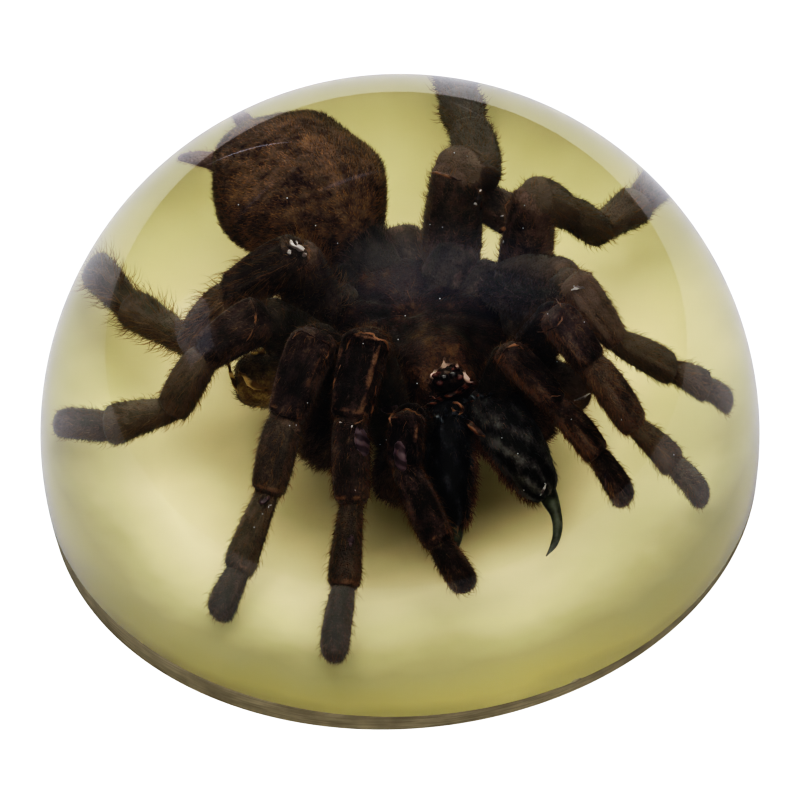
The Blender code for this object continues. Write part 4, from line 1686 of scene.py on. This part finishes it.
UP, FRONT = (0.1, -0.5, 0.85), (0.0, -0.8, 0.6)
TRIMS = (
    Trim("knee_flakes", WHITE_FLAKES_AND_GLINTS, (
        Spot((-8.5, 4.4, 26.1), (0.3, 0.0, 0.95), (0.55, 0.18, 0.10), 25.0),
        Spot((-8.2, 3.9, 26.1), (0.3, -0.2, 0.93), (0.75, 0.20, 0.10), 100.0),
        Spot((-7.7, 4.1, 25.8), (0.6, -0.1, 0.8), (0.42, 0.20, 0.10), 60.0),
        Spot((-7.9, 4.8, 25.8), (0.5, 0.1, 0.8), (0.34, 0.16, 0.10), 150.0),
        Spot((-7.4, 3.5, 25.3), (0.65, -0.1, 0.75), (0.40, 0.14, 0.10), -30.0),
        Spot((-8.8, 3.4, 26.1), (0.2, -0.2, 0.95), (0.28, 0.18, 0.10), 0.0)), 0.22, 0.45),
    # pale crumbs, and pale spots where the joints glint, as painted highlights
    Trim("crumbs_and_painted_glints", WHITE_FLAKES_AND_GLINTS, (
        *scatter((((9.2, 10.3, 24.3), UP), ((8.95, 9.8, 23.9), UP), ((8.6, 9.3, 23.4), FRONT)),
                 (0.20, 0.12, 0.10), (0.0, 60.0)),
        *scatter((((10.9, 8.4, 22.5), UP), ((10.7, 6.6, 20.8), UP), ((9.45, 10.9, 19.2), FRONT),
                  ((-5.64, -15.7, 21.9), FRONT), ((-4.59, -16.2, 21.75), FRONT),
                  ((-4.85, -20.3, 17.0), FRONT), ((-13.3, -19.4, 15.1), FRONT),
                  ((22.07, -14.2, 17.4), FRONT), ((19.3, 11.5, 18.0), UP),
                  ((-7.4, 11.1, 19.1), FRONT), ((-6.8, 11.0, 18.7), FRONT)),
                 (0.16, 0.08, 0.07), (0.0, 60.0, 120.0)),
        Strand(((18.1, -4.1, 26.0), (18.8, -4.0, 26.15), (19.4, -3.8, 25.9)), (0.06, 0.17, 0.08)),
        Strand(((12.7, -16.05, 10.3), (13.05, -15.95, 10.8), (13.4, -15.65, 11.3)), (0.08, 0.13, 0.05)),
        Strand(((16.5, -8.2, 14.75), (17.1, -7.75, 14.45), (17.9, -6.7, 14.0)), (0.06, 0.13, 0.06))),
         0.12, 0.3),
    Trim("lilac_membranes", MEMBRANE, (
        Spot((-3.75, -17.1, 20.4), (0.3, -0.6, 0.7), (1.45, 0.75, 0.35), 80.0),
        Spot((-0.15, -17.4, 18.2), (-0.4, -0.7, 0.6), (1.5, 0.7, 0.35), 110.0),
        Spot((-0.8, -10.5, 18.1), FRONT, (0.9, 0.55, 0.35), 0.0),
        Spot((-5.9, -24.1, 13.4), (0.1, -0.65, 0.75), (0.9, 0.35, 0.25), 60.0),
        Spot((-13.7, -18.9, 15.4), (0.1, -0.6, 0.8), (0.6, 0.3, 0.25), 20.0)), 0.2, 0.5),
    Trim("golden_membranes", TAN_MEMBRANE, (
        Spot((-11.6, 2.3, 13.7), (0.0, 0.2, 0.95), (0.75, 0.35, 0.2), 0.0),
        Strand(((-13.6, 1.0, 12.9), (-13.1, 0.05, 13.0), (-12.6, -0.6, 12.75), (-11.9, -0.95, 12.5),
                (-11.2, -1.0, 12.5)), (0.10, 0.30, 0.36, 0.26, 0.10)),
        Strand(((-14.4, 2.4, 13.0), (-14.1, 1.0, 11.8), (-13.5, 0.0, 11.0), (-12.3, -0.65, 10.3),
                (-11.2, -0.9, 10.2)), (0.12, 0.22, 0.26, 0.24, 0.12)),
        Spot((4.5, -18.0, 8.4), (0.6, -0.7, 0.3), (0.7, 0.4, 0.3), 0.0)), 0.16, 0.5),
    Trim("copper_folds_and_painted_glint", COPPER_SKIN, (
        # a fold painted bright along the knee of the fourth left leg, as a copper highlight
        Strand(((4.9, 11.5, 26.0), (5.5, 11.2, 26.45), (6.0, 10.9, 26.6), (6.7, 10.5, 26.6),
                (7.7, 10.15, 26.3)), (0.05, 0.17, 0.14, 0.18, 0.05)),
        Strand(((6.2, -11.1, 16.3), (6.6, -11.2, 15.7), (7.3, -11.8, 15.3), (7.95, -12.5, 15.2)),
               (0.15, 0.32, 0.38, 0.10)),
        Strand(((5.2, -9.8, 17.4), (5.8, -9.9, 17.15), (5.9, -10.6, 16.75), (5.35, -10.7, 17.05),
                (5.07, -10.4, 17.3)), (0.10, 0.16, 0.18, 0.16, 0.10)),
        Spot((9.0, 9.9, 22.3), FRONT, (0.5, 0.22, 0.15), 70.0),
        Spot((10.8, 7.4, 21.6), UP, (0.4, 0.2, 0.15), 30.0)), 0.10, 0.4),
    Trim("bare_rims", RIM_CHITIN, (
        Strand(((-4.6, -9.9, 25.8), (-3.9, -9.2, 26.8), (-3.2, -9, 27.3), (-2.5, -9.1, 27.3),
                (-1.8, -9.1, 27.1), (-1.4, -9.6, 26.9), (-0.7, -9.5, 26.4), (-0.4, -9.7, 25.7),
                (-0.5, -10.1, 25.4), (-0.9, -10.8, 25.3)),
               (0.05, 0.1, 0.1, 0.07, 0.1, 0.1, 0.07, 0.1, 0.1, 0.05)),
        Strand(((-5.2, -11, 25.1), (-5.8, -11.9, 24.3), (-6.2, -12.8, 23.3)), (0.03, 0.07, 0.03)),
        Strand(((-1.9, -13, 23.8), (-2.1, -13.5, 23), (-2.4, -14.2, 21.9), (-2.9, -15, 21.4)),
               (0.04, 0.08, 0.08, 0.04)),
        Strand(((-5.8, -15.4, 22), (-5.3, -15.9, 21.95), (-4.6, -16.1, 21.9), (-3.9, -15.9, 21.85),
                (-3.5, -15.4, 21.8)), (0.04, 0.08, 0.08, 0.06, 0.04)),
        Strand(((-9.6, -7.6, 25.9), (-8.8, -7.4, 26.7), (-8.1, -8.1, 26.9), (-7.3, -8.7, 26.8),
                (-6.6, -9, 26.4), (-6.1, -9.2, 25.9), (-6.2, -9.4, 25.4), (-6.5, -10, 25.2),
                (-7, -10.5, 25.1)), (0.04, 0.09, 0.09, 0.06, 0.09, 0.09, 0.06, 0.09, 0.04)),
        Strand(((-12.3, -12.8, 21.6), (-11.5, -13.8, 21.7), (-10.4, -14.2, 21.6), (-9.1, -13.9, 21.3)),
               (0.03, 0.07, 0.07, 0.03)),
        Strand(((-0.7, -15.5, 20), (-0.8, -14.9, 20.5), (-0.8, -14.3, 20.6), (-0.2, -13.9, 20.8),
                (0.6, -13.8, 21), (1.5, -14.3, 21.1), (2.1, -14.7, 20.8), (2.5, -15.1, 19.9)),
               (0.04, 0.08, 0.08, 0.06, 0.08, 0.08, 0.06, 0.04)),
        Strand(((-12.9, 0.1, 24), (-12.6, -2, 24.1), (-12.8, -2.9, 23.3), (-13.5, -3.9, 22.6),
                (-14, -4.1, 21.8)), (0.04, 0.09, 0.09, 0.06, 0.04)),
        Strand(((16.5, -5.5, 26.3), (17.3, -8.3, 27.4), (17, -9, 26.7), (15.7, -9.5, 26.1),
                (14.3, -8.6, 24.9)), (0.04, 0.08, 0.08, 0.06, 0.04)),
        Strand(((9.9, -9.9, 22), (10.8, -9.3, 23.3), (11.8, -8.7, 23.4), (12.6, -8.5, 22.6)),
               (0.05, 0.12, 0.12, 0.05)),
        Strand(((13.8, -12.5, 18.9), (14.8, -12.2, 19.4), (15.8, -11.6, 18.9)), (0.03, 0.06, 0.03)),
        Strand(((-6.8, 4.6, 25), (-7, 3.4, 24.9), (-7.4, 2.5, 25), (-8.2, 1.9, 24.9)),
               (0.03, 0.07, 0.07, 0.03)),
        Strand(((11.9, 9, 24.2), (11.4, 8.8, 23.5), (11.4, 8.4, 23.1)), (0.04, 0.09, 0.04))), 0.12, 0.35),
    Trim("red_strands", RED_SKIN, (
        Strand(((2.2, -9.5, 16.6), (4.0, -9.55, 17.55), (5.45, -8.9, 17.6), (6.9, -8.0, 17.6)),
               (0.10, 0.20, 0.22, 0.10)),
        Strand(((3.0, -9.0, 17.5), (4.3, -9.6, 17.9), (5.2, -9.5, 18.2), (6.5, -8.1, 17.8),
                (7.8, -6.5, 16.6)), (0.08, 0.16, 0.20, 0.22, 0.10)),
        Strand(((6.6, -9.5, 16.8), (7.6, -9.3, 17.4), (9.0, -8.6, 17.8)), (0.08, 0.16, 0.08)),
        Spot((2.6, -11.5, 16.6), FRONT, (1.3, 0.5, 0.3), 80.0)), 0.25, 0.6),
    Trim("grey_skin", GREY_SKIN, (
        *scatter((((6.4, -9.2, 16.8), UP), ((7.2, -9.4, 17.35), UP), ((8.0, -9.6, 17.7), UP),
                  ((8.8, -9.95, 18.2), UP), ((3.7, -11.0, 17.0), UP), ((4.5, -10.95, 17.2), UP),
                  ((5.3, -11.0, 17.0), UP), ((6.0, -10.9, 16.6), UP), ((4.05, -11.45, 16.9), UP)),
                 (0.42, 0.22, 0.12), (20.0, -35.0, 70.0)),), 0.2, 0.35),
    Trim("pinpoint_bubbles", AIR_BUBBLE, scatter(tuple((place, UP) for place in (
        (-2.8, -9.9, 26.7), (-8.7, -13.3, 22.6), (-1.9, -10.3, 13.3), (15.7, -8.1, 27.0), (11.0, -14.6, 14.6),
        (18.4, -3.9, 26.3), (-3.8, 4.3, 17.1), (9.6, -13.5, 15.8), (11.2, -16.1, 11.2), (4.6, 2.8, 18.0),
        (0.6, -2.1, 18.4), (2.0, -7.7, 18.2), (1.4, 1.1, 18.0), (-10.0, -14.8, 21.2), (-10.7, -15.1, 21.5),
        (-1.3, -10.5, 14.0), (-12.1, 14.7, 19.3), (-8.0, 13.4, 21.3), (-5.7, 11.2, 19.6), (-3.9, 10.3, 17.9),
        (14.9, -3.9, 15.6), (13.3, -15.9, 11.6), (16.7, -13.6, 17.5), (19.4, -8.4, 25.8), (22.1, -14.5, 17.7),
        (7.3, 13.1, 27.2), (8.5, 12.5, 27.4), (13.4, 7.8, 24.9), (12.9, 6.5, 22.9), (5.4, 8.2, 21.6),
        (4.3, 8.7, 21.5), (-14.2, -20.4, 14.9), (-15.2, -21.3, 14.0), (-13.5, -19.9, 15.3), (8.0, 6.2, 17.3),
        (27.4, -15.3, 12.9))), (0.075, 0.075, 0.075)), 0.0),
)


@dataclass
class Jaw:
    """A chelicera with its fang and the red-brown fringe along its inner edge."""

    name: str
    start: Point
    end: Point
    radii: tuple[float, float]
    fang: tuple[Point, ...]
    fang_radii: tuple[float, ...] = (0.85, 0.72, 0.5, 0.14)
    fringe_side: Point = (-1.0, 0.0, -0.6)
    cuticle: Cuticle = JAW_CUTICLE
    hair: Hair = JAW_DOWN
    folds: float = 7.0               # lengthwise folds round it
    fold_depth: float = 0.13 * MM
    fold_twist: float = 0.22         # how far the folds wind, in radians a millimetre
    fold_shade: float = 0.32         # how much paler their crests and darker their hollows are painted
    seed: int = 61

    def build(self, mould: SegmentMould) -> None:
        """Make the jaw, its fang and its hair.

        Args:
            mould: the segments' moulds.
        """
        start, end = Vector(self.start), Vector(self.end)
        ahead = (end - start).normalized()
        back = UPWARDS - ahead * ahead.z
        sizes = (self.radii[0] * MM, self.radii[1] * MM)
        skin = mould.place(Segment.JAW, start * MM, end * MM, back.normalized(), sizes, bow=0.5 * MM)
        rename(skin, self.name).data.shade_smooth()
        normals = normal_array(skin.data)
        facing = normals @ np.array(Vector(self.fringe_side).normalized())
        reach = vertex_array(skin.data) @ np.array(ahead) / MM - start.dot(ahead)
        self.fold(skin.data, normals, ahead, reach)
        set_attribute(skin.data, "fringe", smooth_step(0.45, 0.85, facing) * smooth_step(1.5, 4.5, reach))
        fur = Fur(skin, self.seed)
        fang = draw_tube(f"{self.name}_fang", self.fang, self.fang_radii)
        add_to_spider(fur.grow(f"{self.name}_hair", (JAW_HAIR, BODY_BRISTLES)), self.hair)
        set_attribute(skin.data, "brown", smooth_step(8.0, 1.5, reach) * patches_over(skin.data, 1.2, 0.0))
        add_to_spider(fur.grow(f"{self.name}_brown_hair", (JAW_PATCH,)), RED_FRINGE)
        add_to_spider(fur.grow(f"{self.name}_fringe", (FRINGE,)), RED_FRINGE)
        add_to_spider(skin, self.cuticle)
        add_to_spider(fang, FANG_CHITIN)

    def fold(self, mesh: Mesh, normals: np.ndarray, ahead: Vector, reach: np.ndarray) -> None:
        """Crease the skin in shallow lengthwise folds that wind a little, with painted light and shade on
        them.

        Args:
            mesh: the jaw's mesh.
            normals: its points' normals.
            ahead: the direction that it points in.
            reach: how far along it each point is, in millimetres.
        """
        side = ahead.cross(UPWARDS).normalized()
        top = side.cross(ahead)
        angle = np.arctan2(normals @ np.array(side), normals @ np.array(top)) + self.fold_twist * reach
        wave = np.sin(self.folds * angle + 1.6 * noise_over(mesh, 2.2)) * smooth_step(1.0, 4.0, reach)
        move_vertices(mesh, vertex_array(mesh) + normals * (wave * self.fold_depth)[:, None])
        # painted light on the crests and painted shade in the hollows
        add_shade(mesh, self.fold_shade * wave)


FANG_ROUTE = ((13.0, -14.4, 9.9), (13.4, -14.8, 8.6), (13.9, -16.1, 7.8), (14.0, -17.4, 7.0),
              (13.6, -18.6, 6.2), (12.8, -19.7, 5.7))
JAWS = (
    Jaw("right_chelicera", (4.5, -7.6, 16.0), (4.3, -17.6, 9.2), (2.45, 1.75),
        ((4.2, -16.4, 9.4), (4.3, -18.3, 8.2), (3.6, -19.2, 7.0), (2.8, -18.8, 6.2)),
        fringe_side=(1.0, -0.5, -0.5), cuticle=SHADED_JAW_CUTICLE, hair=SHADED_JAW_HAIR, seed=61),
    Jaw("left_chelicera", (8.0, -8.0, 16.0), (12.9, -15.0, 9.6), (2.7, 2.15),
        FANG_ROUTE, (1.0, 0.85, 0.56, 0.50, 0.38, 0.06), seed=62),
)


class Growth(Enum):
    """What grows on a lump under the body."""

    PILE = "short pile"
    FRINGE = "short pile, with a fringe on its outer part"
    THIN = "thin pile on bare olive chitin"


COATS = {Growth.PILE: (LEG_PILE,), Growth.FRINGE: (LEG_PILE, FRINGE), Growth.THIN: (THIN_PILE, BODY_BRISTLES)}


@dataclass
class Underside:
    """What holds the limbs under the shield: sternum, waist, maxillae and the trochanters that show."""

    # name, start, end, radii, growth, and how much paler it is painted: partly its own tone, partly painted
    # light to lift it out of the shade under the body
    lumps: tuple[tuple[str, Point, Point, tuple[float, float], Growth, float], ...] = (
        ("waist", (0.4, 7.0, 15.0), (-2.4, 12.6, 15.8), (2.3, 2.5), Growth.FRINGE, -0.12),
        ("right_coxa_4", (-1.2, 5.5, 13.6), (-4.1, 9.4, 14.8), (2.2, 2.0), Growth.PILE, -0.1),
        ("right_maxilla", (2.4, -6.0, 11.5), (-0.9, -13.3, 10.2), (2.6, 2.5), Growth.FRINGE, 0.2),
        ("left_maxilla_lobe", (9.0, -5.0, 12.0), (13.1, -9.0, 12.0), (2.3, 2.0), Growth.FRINGE, 0.65),
        ("left_maxilla", (6.8, -5.0, 11.5), (9.4, -8.5, 10.0), (2.3, 2.1), Growth.FRINGE, 0.1),
        ("right_trochanter_2", (-3.5, -3.5, 11.5), (-7.9, -8.2, 11.0), (2.4, 2.1), Growth.FRINGE, 0.2),
        ("right_coxa_2", (-4.8, -1.6, 12.2), (-8.7, -6.0, 11.6), (2.5, 2.2), Growth.FRINGE, 0.45),
        ("right_trochanter_3", (-5.0, 1.0, 11.5), (-13.4, 1.2, 11.3), (2.6, 2.5), Growth.THIN, 0.0),
        ("right_femur_4_root", (-4.2, 3.2, 12.8), (-4.4, 5.8, 17.0), (2.3, 2.0), Growth.PILE, -0.12),
        ("rear_shield_edge", (2.4, 6.0, 13.5), (1.5, 12.6, 15.6), (2.2, 2.1), Growth.PILE, 0.05),
        ("left_coxa_4", (4.5, 5.6, 15.5), (6.8, 8.2, 18.8), (2.4, 2.0), Growth.PILE, -0.02),
        ("left_coxa_3", (6.0, 4.5, 14.5), (9.6, 6.2, 17.4), (2.0, 1.7), Growth.PILE, 0.0),
        ("left_trochanter_3", (12.2, 11.2, 17.5), (8.6, 12.3, 20.2), (1.8, 1.8), Growth.PILE, 0.2),
        ("left_femur_2_rear", (10.4, 7.4, 15.0), (17.2, -0.2, 23.2), (2.0, 2.1), Growth.PILE, 0.15),
        ("left_femur_1_rear", (7.6, 6.8, 15.0), (16.4, -4.0, 23.6), (1.6, 1.9), Growth.FRINGE, -0.1),
        ("left_trochanter_1", (12.4, -3.2, 13.0), (17.0, -7.0, 14.2), (2.3, 2.0), Growth.PILE, 0.34),
    )
    sternum: Point = (9.2, 8.3, 2.9)
    # share of painted haze on the lumps
    haze_share: float = 0.25
    grain: Point = (0.27, -0.96, 0.0)
    fringe_starts: float = 3.0       # millimetres along a lump where its fringe starts
    fringe_full: float = 5.0         # and where it is full
    seed: int = 71

    def build(self, mould: SegmentMould) -> None:
        """Make the plates and lumps with their hair.

        Args:
            mould: the segments' moulds.
        """
        plate = rounded("sternum", self.sternum, 64, 40)
        settle(plate, BODY_CENTRE, BODY_HEADING)
        plate.data.shade_smooth()
        count = len(plate.data.vertices)
        set_attribute(plate.data, "cover", np.ones(count))
        set_attribute(plate.data, "grain", np.tile(np.array(self.grain), (count, 1)))
        add_mottle(plate.data, 2.0, 0.15)
        hair = Fur(plate, self.seed).grow("sternum_pile", (LEG_PILE,))
        add_to_spider(plate, LIMB_CUTICLE)
        add_to_spider(hair, BROWN_HAIR)
        for number, (name, start, end, radii, growth, shade) in enumerate(self.lumps):
            lump = mould.place(Segment.COXA, Vector(start) * MM, Vector(end) * MM, UPWARDS,
                               (radii[0] * MM, radii[1] * MM))
            rename(lump, name).data.shade_smooth()
            add_shade(lump.data, shade)
            set_attribute(lump.data, "painted_haze", np.full(len(lump.data.vertices), self.haze_share))
            if growth is Growth.FRINGE:
                points = vertex_array(lump.data)
                ahead = (Vector(end) - Vector(start)).normalized()
                reach = points @ np.array(ahead) / MM - Vector(start).dot(ahead)
                set_attribute(lump.data, "fringe", smooth_step(self.fringe_starts, self.fringe_full, reach))
            fur = Fur(lump, self.seed + 1 + number)
            add_to_spider(fur.grow(f"{name}_hair", COATS[growth]), BROWN_HAIR)
            add_to_spider(lump, OLIVE_CHITIN if growth is Growth.THIN else LIMB_CUTICLE)


# ----------------------------------------
# Studio
# ----------------------------------------

class SkyLight:
    """A shape of light in the sky, which each kind works out for itself."""

    strength: float

    def shape(self, tree: NodeTree) -> NodeSocket:
        """Nodes that give 1 inside the shape and 0 outside."""
        raise NotImplementedError

    def add_to(self, tree: NodeTree, other: NodeSocket | float) -> NodeSocket:
        """Add this light to the light that is there.

        Args:
            tree: the world's node tree.
            other: the strength of the rest, as a number or as a socket.

        Returns:
            The sum.
        """
        total = add_node(tree, "ShaderNodeMath", {1: self.strength}, {0: self.shape(tree)},
                         operation="MULTIPLY_ADD")
        if isinstance(other, NodeSocket):
            tree.links.new(other, total.inputs[2])
        else:
            total.inputs[2].default_value = other
        return total.outputs[0]


@dataclass(frozen=True)
class LightPatch(SkyLight):
    """A soft-edged patch of light, given by direction cosines."""

    centre: Point
    half: Point
    strength: float
    edges: tuple[float, float] = (1.3, 0.7)     # where it starts and where it is full, in half widths

    def shape(self, tree: NodeTree) -> NodeSocket:
        """A box of directions with soft edges.

        Args:
            tree: the world's node tree.

        Returns:
            The share of light in each direction.
        """
        way = add_node(tree, "ShaderNodeTexCoord").outputs["Generated"]
        beside = add_node(tree, "ShaderNodeVectorMath", {1: self.centre}, {0: way}, operation="SUBTRACT")
        share = add_node(tree, "ShaderNodeVectorMath", {1: self.half}, {0: beside}, operation="DIVIDE")
        reach = add_node(tree, "ShaderNodeVectorMath", None, {0: share}, operation="ABSOLUTE")
        axes = add_node(tree, "ShaderNodeSeparateXYZ", None, {0: reach})
        low, high = self.edges
        wide, deep, tall = (add_node(tree, "ShaderNodeMapRange", {"From Min": low, "From Max": high},
                                     {"Value": axes.outputs[axis]}, interpolation_type="SMOOTHSTEP")
                            for axis in "XYZ")
        inside = add_node(tree, "ShaderNodeMath", None, {0: wide, 1: deep}, operation="MULTIPLY")
        patch = add_node(tree, "ShaderNodeMath", None, {0: inside, 1: tall}, operation="MULTIPLY")
        return patch.outputs[0]


@dataclass(frozen=True)
class LightStreak(SkyLight):
    """A thin bright line in what the dome mirrors, from one direction to another, given by cosines."""

    start: Point
    end: Point
    half_width: float
    strength: float

    def shape(self, tree: NodeTree) -> NodeSocket:
        """A narrow band along a great circle, on the side of the sky that it is on.

        Args:
            tree: the world's node tree.

        Returns:
            The share of light in each direction.
        """
        first, last = Vector(self.start).normalized(), Vector(self.end).normalized()
        across = first.cross(last).normalized()
        middle = (first + last).normalized()
        run = across.cross(middle)
        way = add_node(tree, "ShaderNodeTexCoord").outputs["Generated"]
        shares = []
        for axis, half in ((across, self.half_width), (run, abs(run.dot(last - first)) / 2)):
            along = add_node(tree, "ShaderNodeVectorMath", {1: tuple(axis)}, {0: way},
                             operation="DOT_PRODUCT")
            off = add_node(tree, "ShaderNodeMath", None, {0: along.outputs["Value"]}, operation="ABSOLUTE")
            shares.append(add_node(tree, "ShaderNodeMapRange",
                                   {"From Min": half * 1.3, "From Max": half * 0.4},
                                   {"Value": off}, interpolation_type="SMOOTHSTEP"))
        side = add_node(tree, "ShaderNodeVectorMath", {1: tuple(middle)}, {0: way}, operation="DOT_PRODUCT")
        ahead = add_node(tree, "ShaderNodeMath", {1: 0.0}, {0: side.outputs["Value"]},
                         operation="GREATER_THAN")
        inside = add_node(tree, "ShaderNodeMath", None, {0: shares[0], 1: shares[1]}, operation="MULTIPLY")
        streak = add_node(tree, "ShaderNodeMath", None, {0: inside, 1: ahead}, operation="MULTIPLY")
        return streak.outputs[0]


@dataclass
class Studio:
    """A white table under a soft overhead light, and the photograph's viewpoint."""

    camera_place: Point = (0.000369, -0.259055, 0.254650)
    camera_rise: float = 43.33       # degrees above level that the camera looks down from
    camera_roll: float = 5.08
    lens: float = 128.57
    floor_x: tuple[float, float] = (-3.0, 0.45)
    floor_y: tuple[float, float] = (-0.33, 3.0)
    lights: tuple[LightPatch, ...] = (
        LightPatch((0.3, 0.0, 0.97), (0.1, 0.1, 0.9), 18.4),
        LightPatch((-0.2, -0.4, 0.97), (0.2, 0.1, 0.9), 13.1),
        LightPatch((0.2, -0.4, 0.97), (0.2, 0.1, 0.9), 6.3),
        LightPatch((-0.3, 0.8, 0.97), (0.1, 0.1, 0.9), 17.9),
        LightPatch((0.1, 0.8, 0.97), (0.1, 0.1, 0.9), 8.5),
        LightPatch((0.3, 0.6, 0.97), (0.1, 0.1, 0.9), 3.2))
    mirrored_patches: tuple[LightPatch | LightStreak, ...] = (
        LightPatch((0.0, 0.0, 0.97), (1.5, 1.5, 0.5), 0.05),
        LightPatch((0.3, 0.09, 0.97), (0.6, 0.27, 0.5), 0.37, (1.35, 0.2)),
        LightPatch((-0.815, 0.19, 0.53), (0.06, 0.17, 0.085), 0.4, (1.04, 0.96)),
        LightStreak((-0.399, 0.912, 0.096), (-0.247, 0.902, 0.354), 0.004, 1.2),
        LightStreak((-0.535, 0.603, 0.591), (-0.365, 0.732, 0.575), 0.012, 0.25),
        LightStreak((-0.22, 0.62, 0.753), (0.005, 0.682, 0.731), 0.013, 0.55),
        LightStreak((0.168, 0.984, 0.057), (0.3, 0.934, 0.195), 0.006, 0.15),
        LightStreak((0.886, -0.455, 0.087), (0.874, -0.485, 0.011), 0.006, 0.5),
        LightStreak((0.934, -0.174, 0.311), (0.951, -0.186, 0.245), 0.006, 0.3),
        LightStreak((0.828, -0.163, 0.537), (0.85, -0.092, 0.519), 0.006, 0.3))
    room_light: float = 0.005
    mirrored_room: float = 0.06
    mirrored_colour: str = "#DDE4FF"
    tones: tuple[tuple[float, float], ...] = ((0.0, 0.0), (0.016, 0.005), (0.031, 0.022), (0.0625, 0.087),
                                              (0.125, 0.275), (0.25, 0.57), (0.5, 0.86), (1.0, 1.0))

    def place_camera(self) -> None:
        """Put the camera at the photograph's angle and distance."""
        view = bpy.data.cameras.new("photograph_view")
        view.lens = self.lens
        view.sensor_width = 36.0
        view.clip_start = 0.01
        camera = add_object("photograph_view", view)
        turn = (Matrix.Rotation(math.radians(90.0 - self.camera_rise), 4, "X")
                @ Matrix.Rotation(math.radians(-self.camera_roll), 4, "Z"))
        camera.matrix_world = Matrix.Translation(self.camera_place) @ turn
        bpy.context.scene.camera = camera

    def lay_floor(self) -> None:
        """Lay the floor under the dome."""
        select()
        bpy.ops.mesh.primitive_plane_add(size=1.0)
        floor = bpy.context.object
        (left, right), (front, rear) = self.floor_x, self.floor_y
        floor.data.transform(Matrix.Translation(((left + right) / 2, (front + rear) / 2, 0.0))
                             @ Matrix.Diagonal((right - left, rear - front, 1.0, 1.0)))
        floor.name = "studio_floor"
        floor.data.materials.append(FLOOR_PAPER.material())

    def light(self) -> None:
        """A long soft light overhead in a dim room, and what the polished dome mirrors of them."""
        world = bpy.data.worlds.new("studio")
        bpy.context.scene.world = world
        world.use_nodes = True
        tree = world.node_tree
        path = add_node(tree, "ShaderNodeLightPath")
        lit = self.room_light
        for patch in self.lights:
            lit = patch.add_to(tree, lit)
        mirrored = self.mirrored_room
        for patch in self.mirrored_patches:
            mirrored = patch.add_to(tree, mirrored)
        mirror = add_node(tree, "ShaderNodeMath", None, {0: path.outputs["Is Glossy Ray"],
                                                         1: path.outputs["Is Reflection Ray"]},
                          operation="MULTIPLY")
        unseen = add_node(tree, "ShaderNodeMix", None, {0: mirror, 2: lit, 3: mirrored})
        strength = add_node(tree, "ShaderNodeMix", {3: 1.0}, {0: path.outputs["Is Camera Ray"], 2: unseen})
        background = tree.nodes["Background"]
        colour = add_node(tree, "ShaderNodeMix",
                          {MIX_A: linear("#FFFFFF"), MIX_B: linear(self.mirrored_colour)},
                          {MIX_FACTOR: mirror}, data_type="RGBA")
        tree.links.new(colour.outputs[MIX_RESULT], background.inputs["Color"])
        tree.links.new(strength.outputs[0], background.inputs["Strength"])

    def develop(self, view: ColorManagedViewSettings) -> None:
        """Develop the picture with the photograph's strong contrast, by one curve for all colours.

        Args:
            view: the scene's view settings.
        """
        view.view_transform = "Standard"
        view.use_curve_mapping = True
        curve = view.curve_mapping.curves[3]
        for place, height in self.tones[1:-1]:
            curve.points.new(place, height)
        view.curve_mapping.update()

    def build(self) -> None:
        """Set up the camera, floor and light, and how the picture is developed."""
        self.place_camera()
        self.lay_floor()
        self.light()
        scene = bpy.context.scene
        self.develop(scene.view_settings)
        scene.cycles.use_denoising = True
        scene.cycles.max_bounces = 16
        scene.cycles.transmission_bounces = 12
        scene.cycles.diffuse_bounces = 6
        scene.cycles.glossy_bounces = 6


def main() -> None:
    """Load the frame and build the pieces in order."""
    logging.basicConfig(level=logging.INFO, format="%(name)s: %(message)s")
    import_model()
    mould = SegmentMould()
    Studio().build()
    Abdomen().build(mould)
    Carapace().build()
    Eyes().build()
    for jaw in JAWS:
        jaw.build(mould)
    Underside().build(mould)
    for limb in LIMBS:
        limb.build(mould)
    for trim in TRIMS:
        trim.build()
    ResinDome().build()
    for mesh in mould.moulds.values():
        bpy.data.meshes.remove(mesh)


if __name__ == "__main__":
    main()
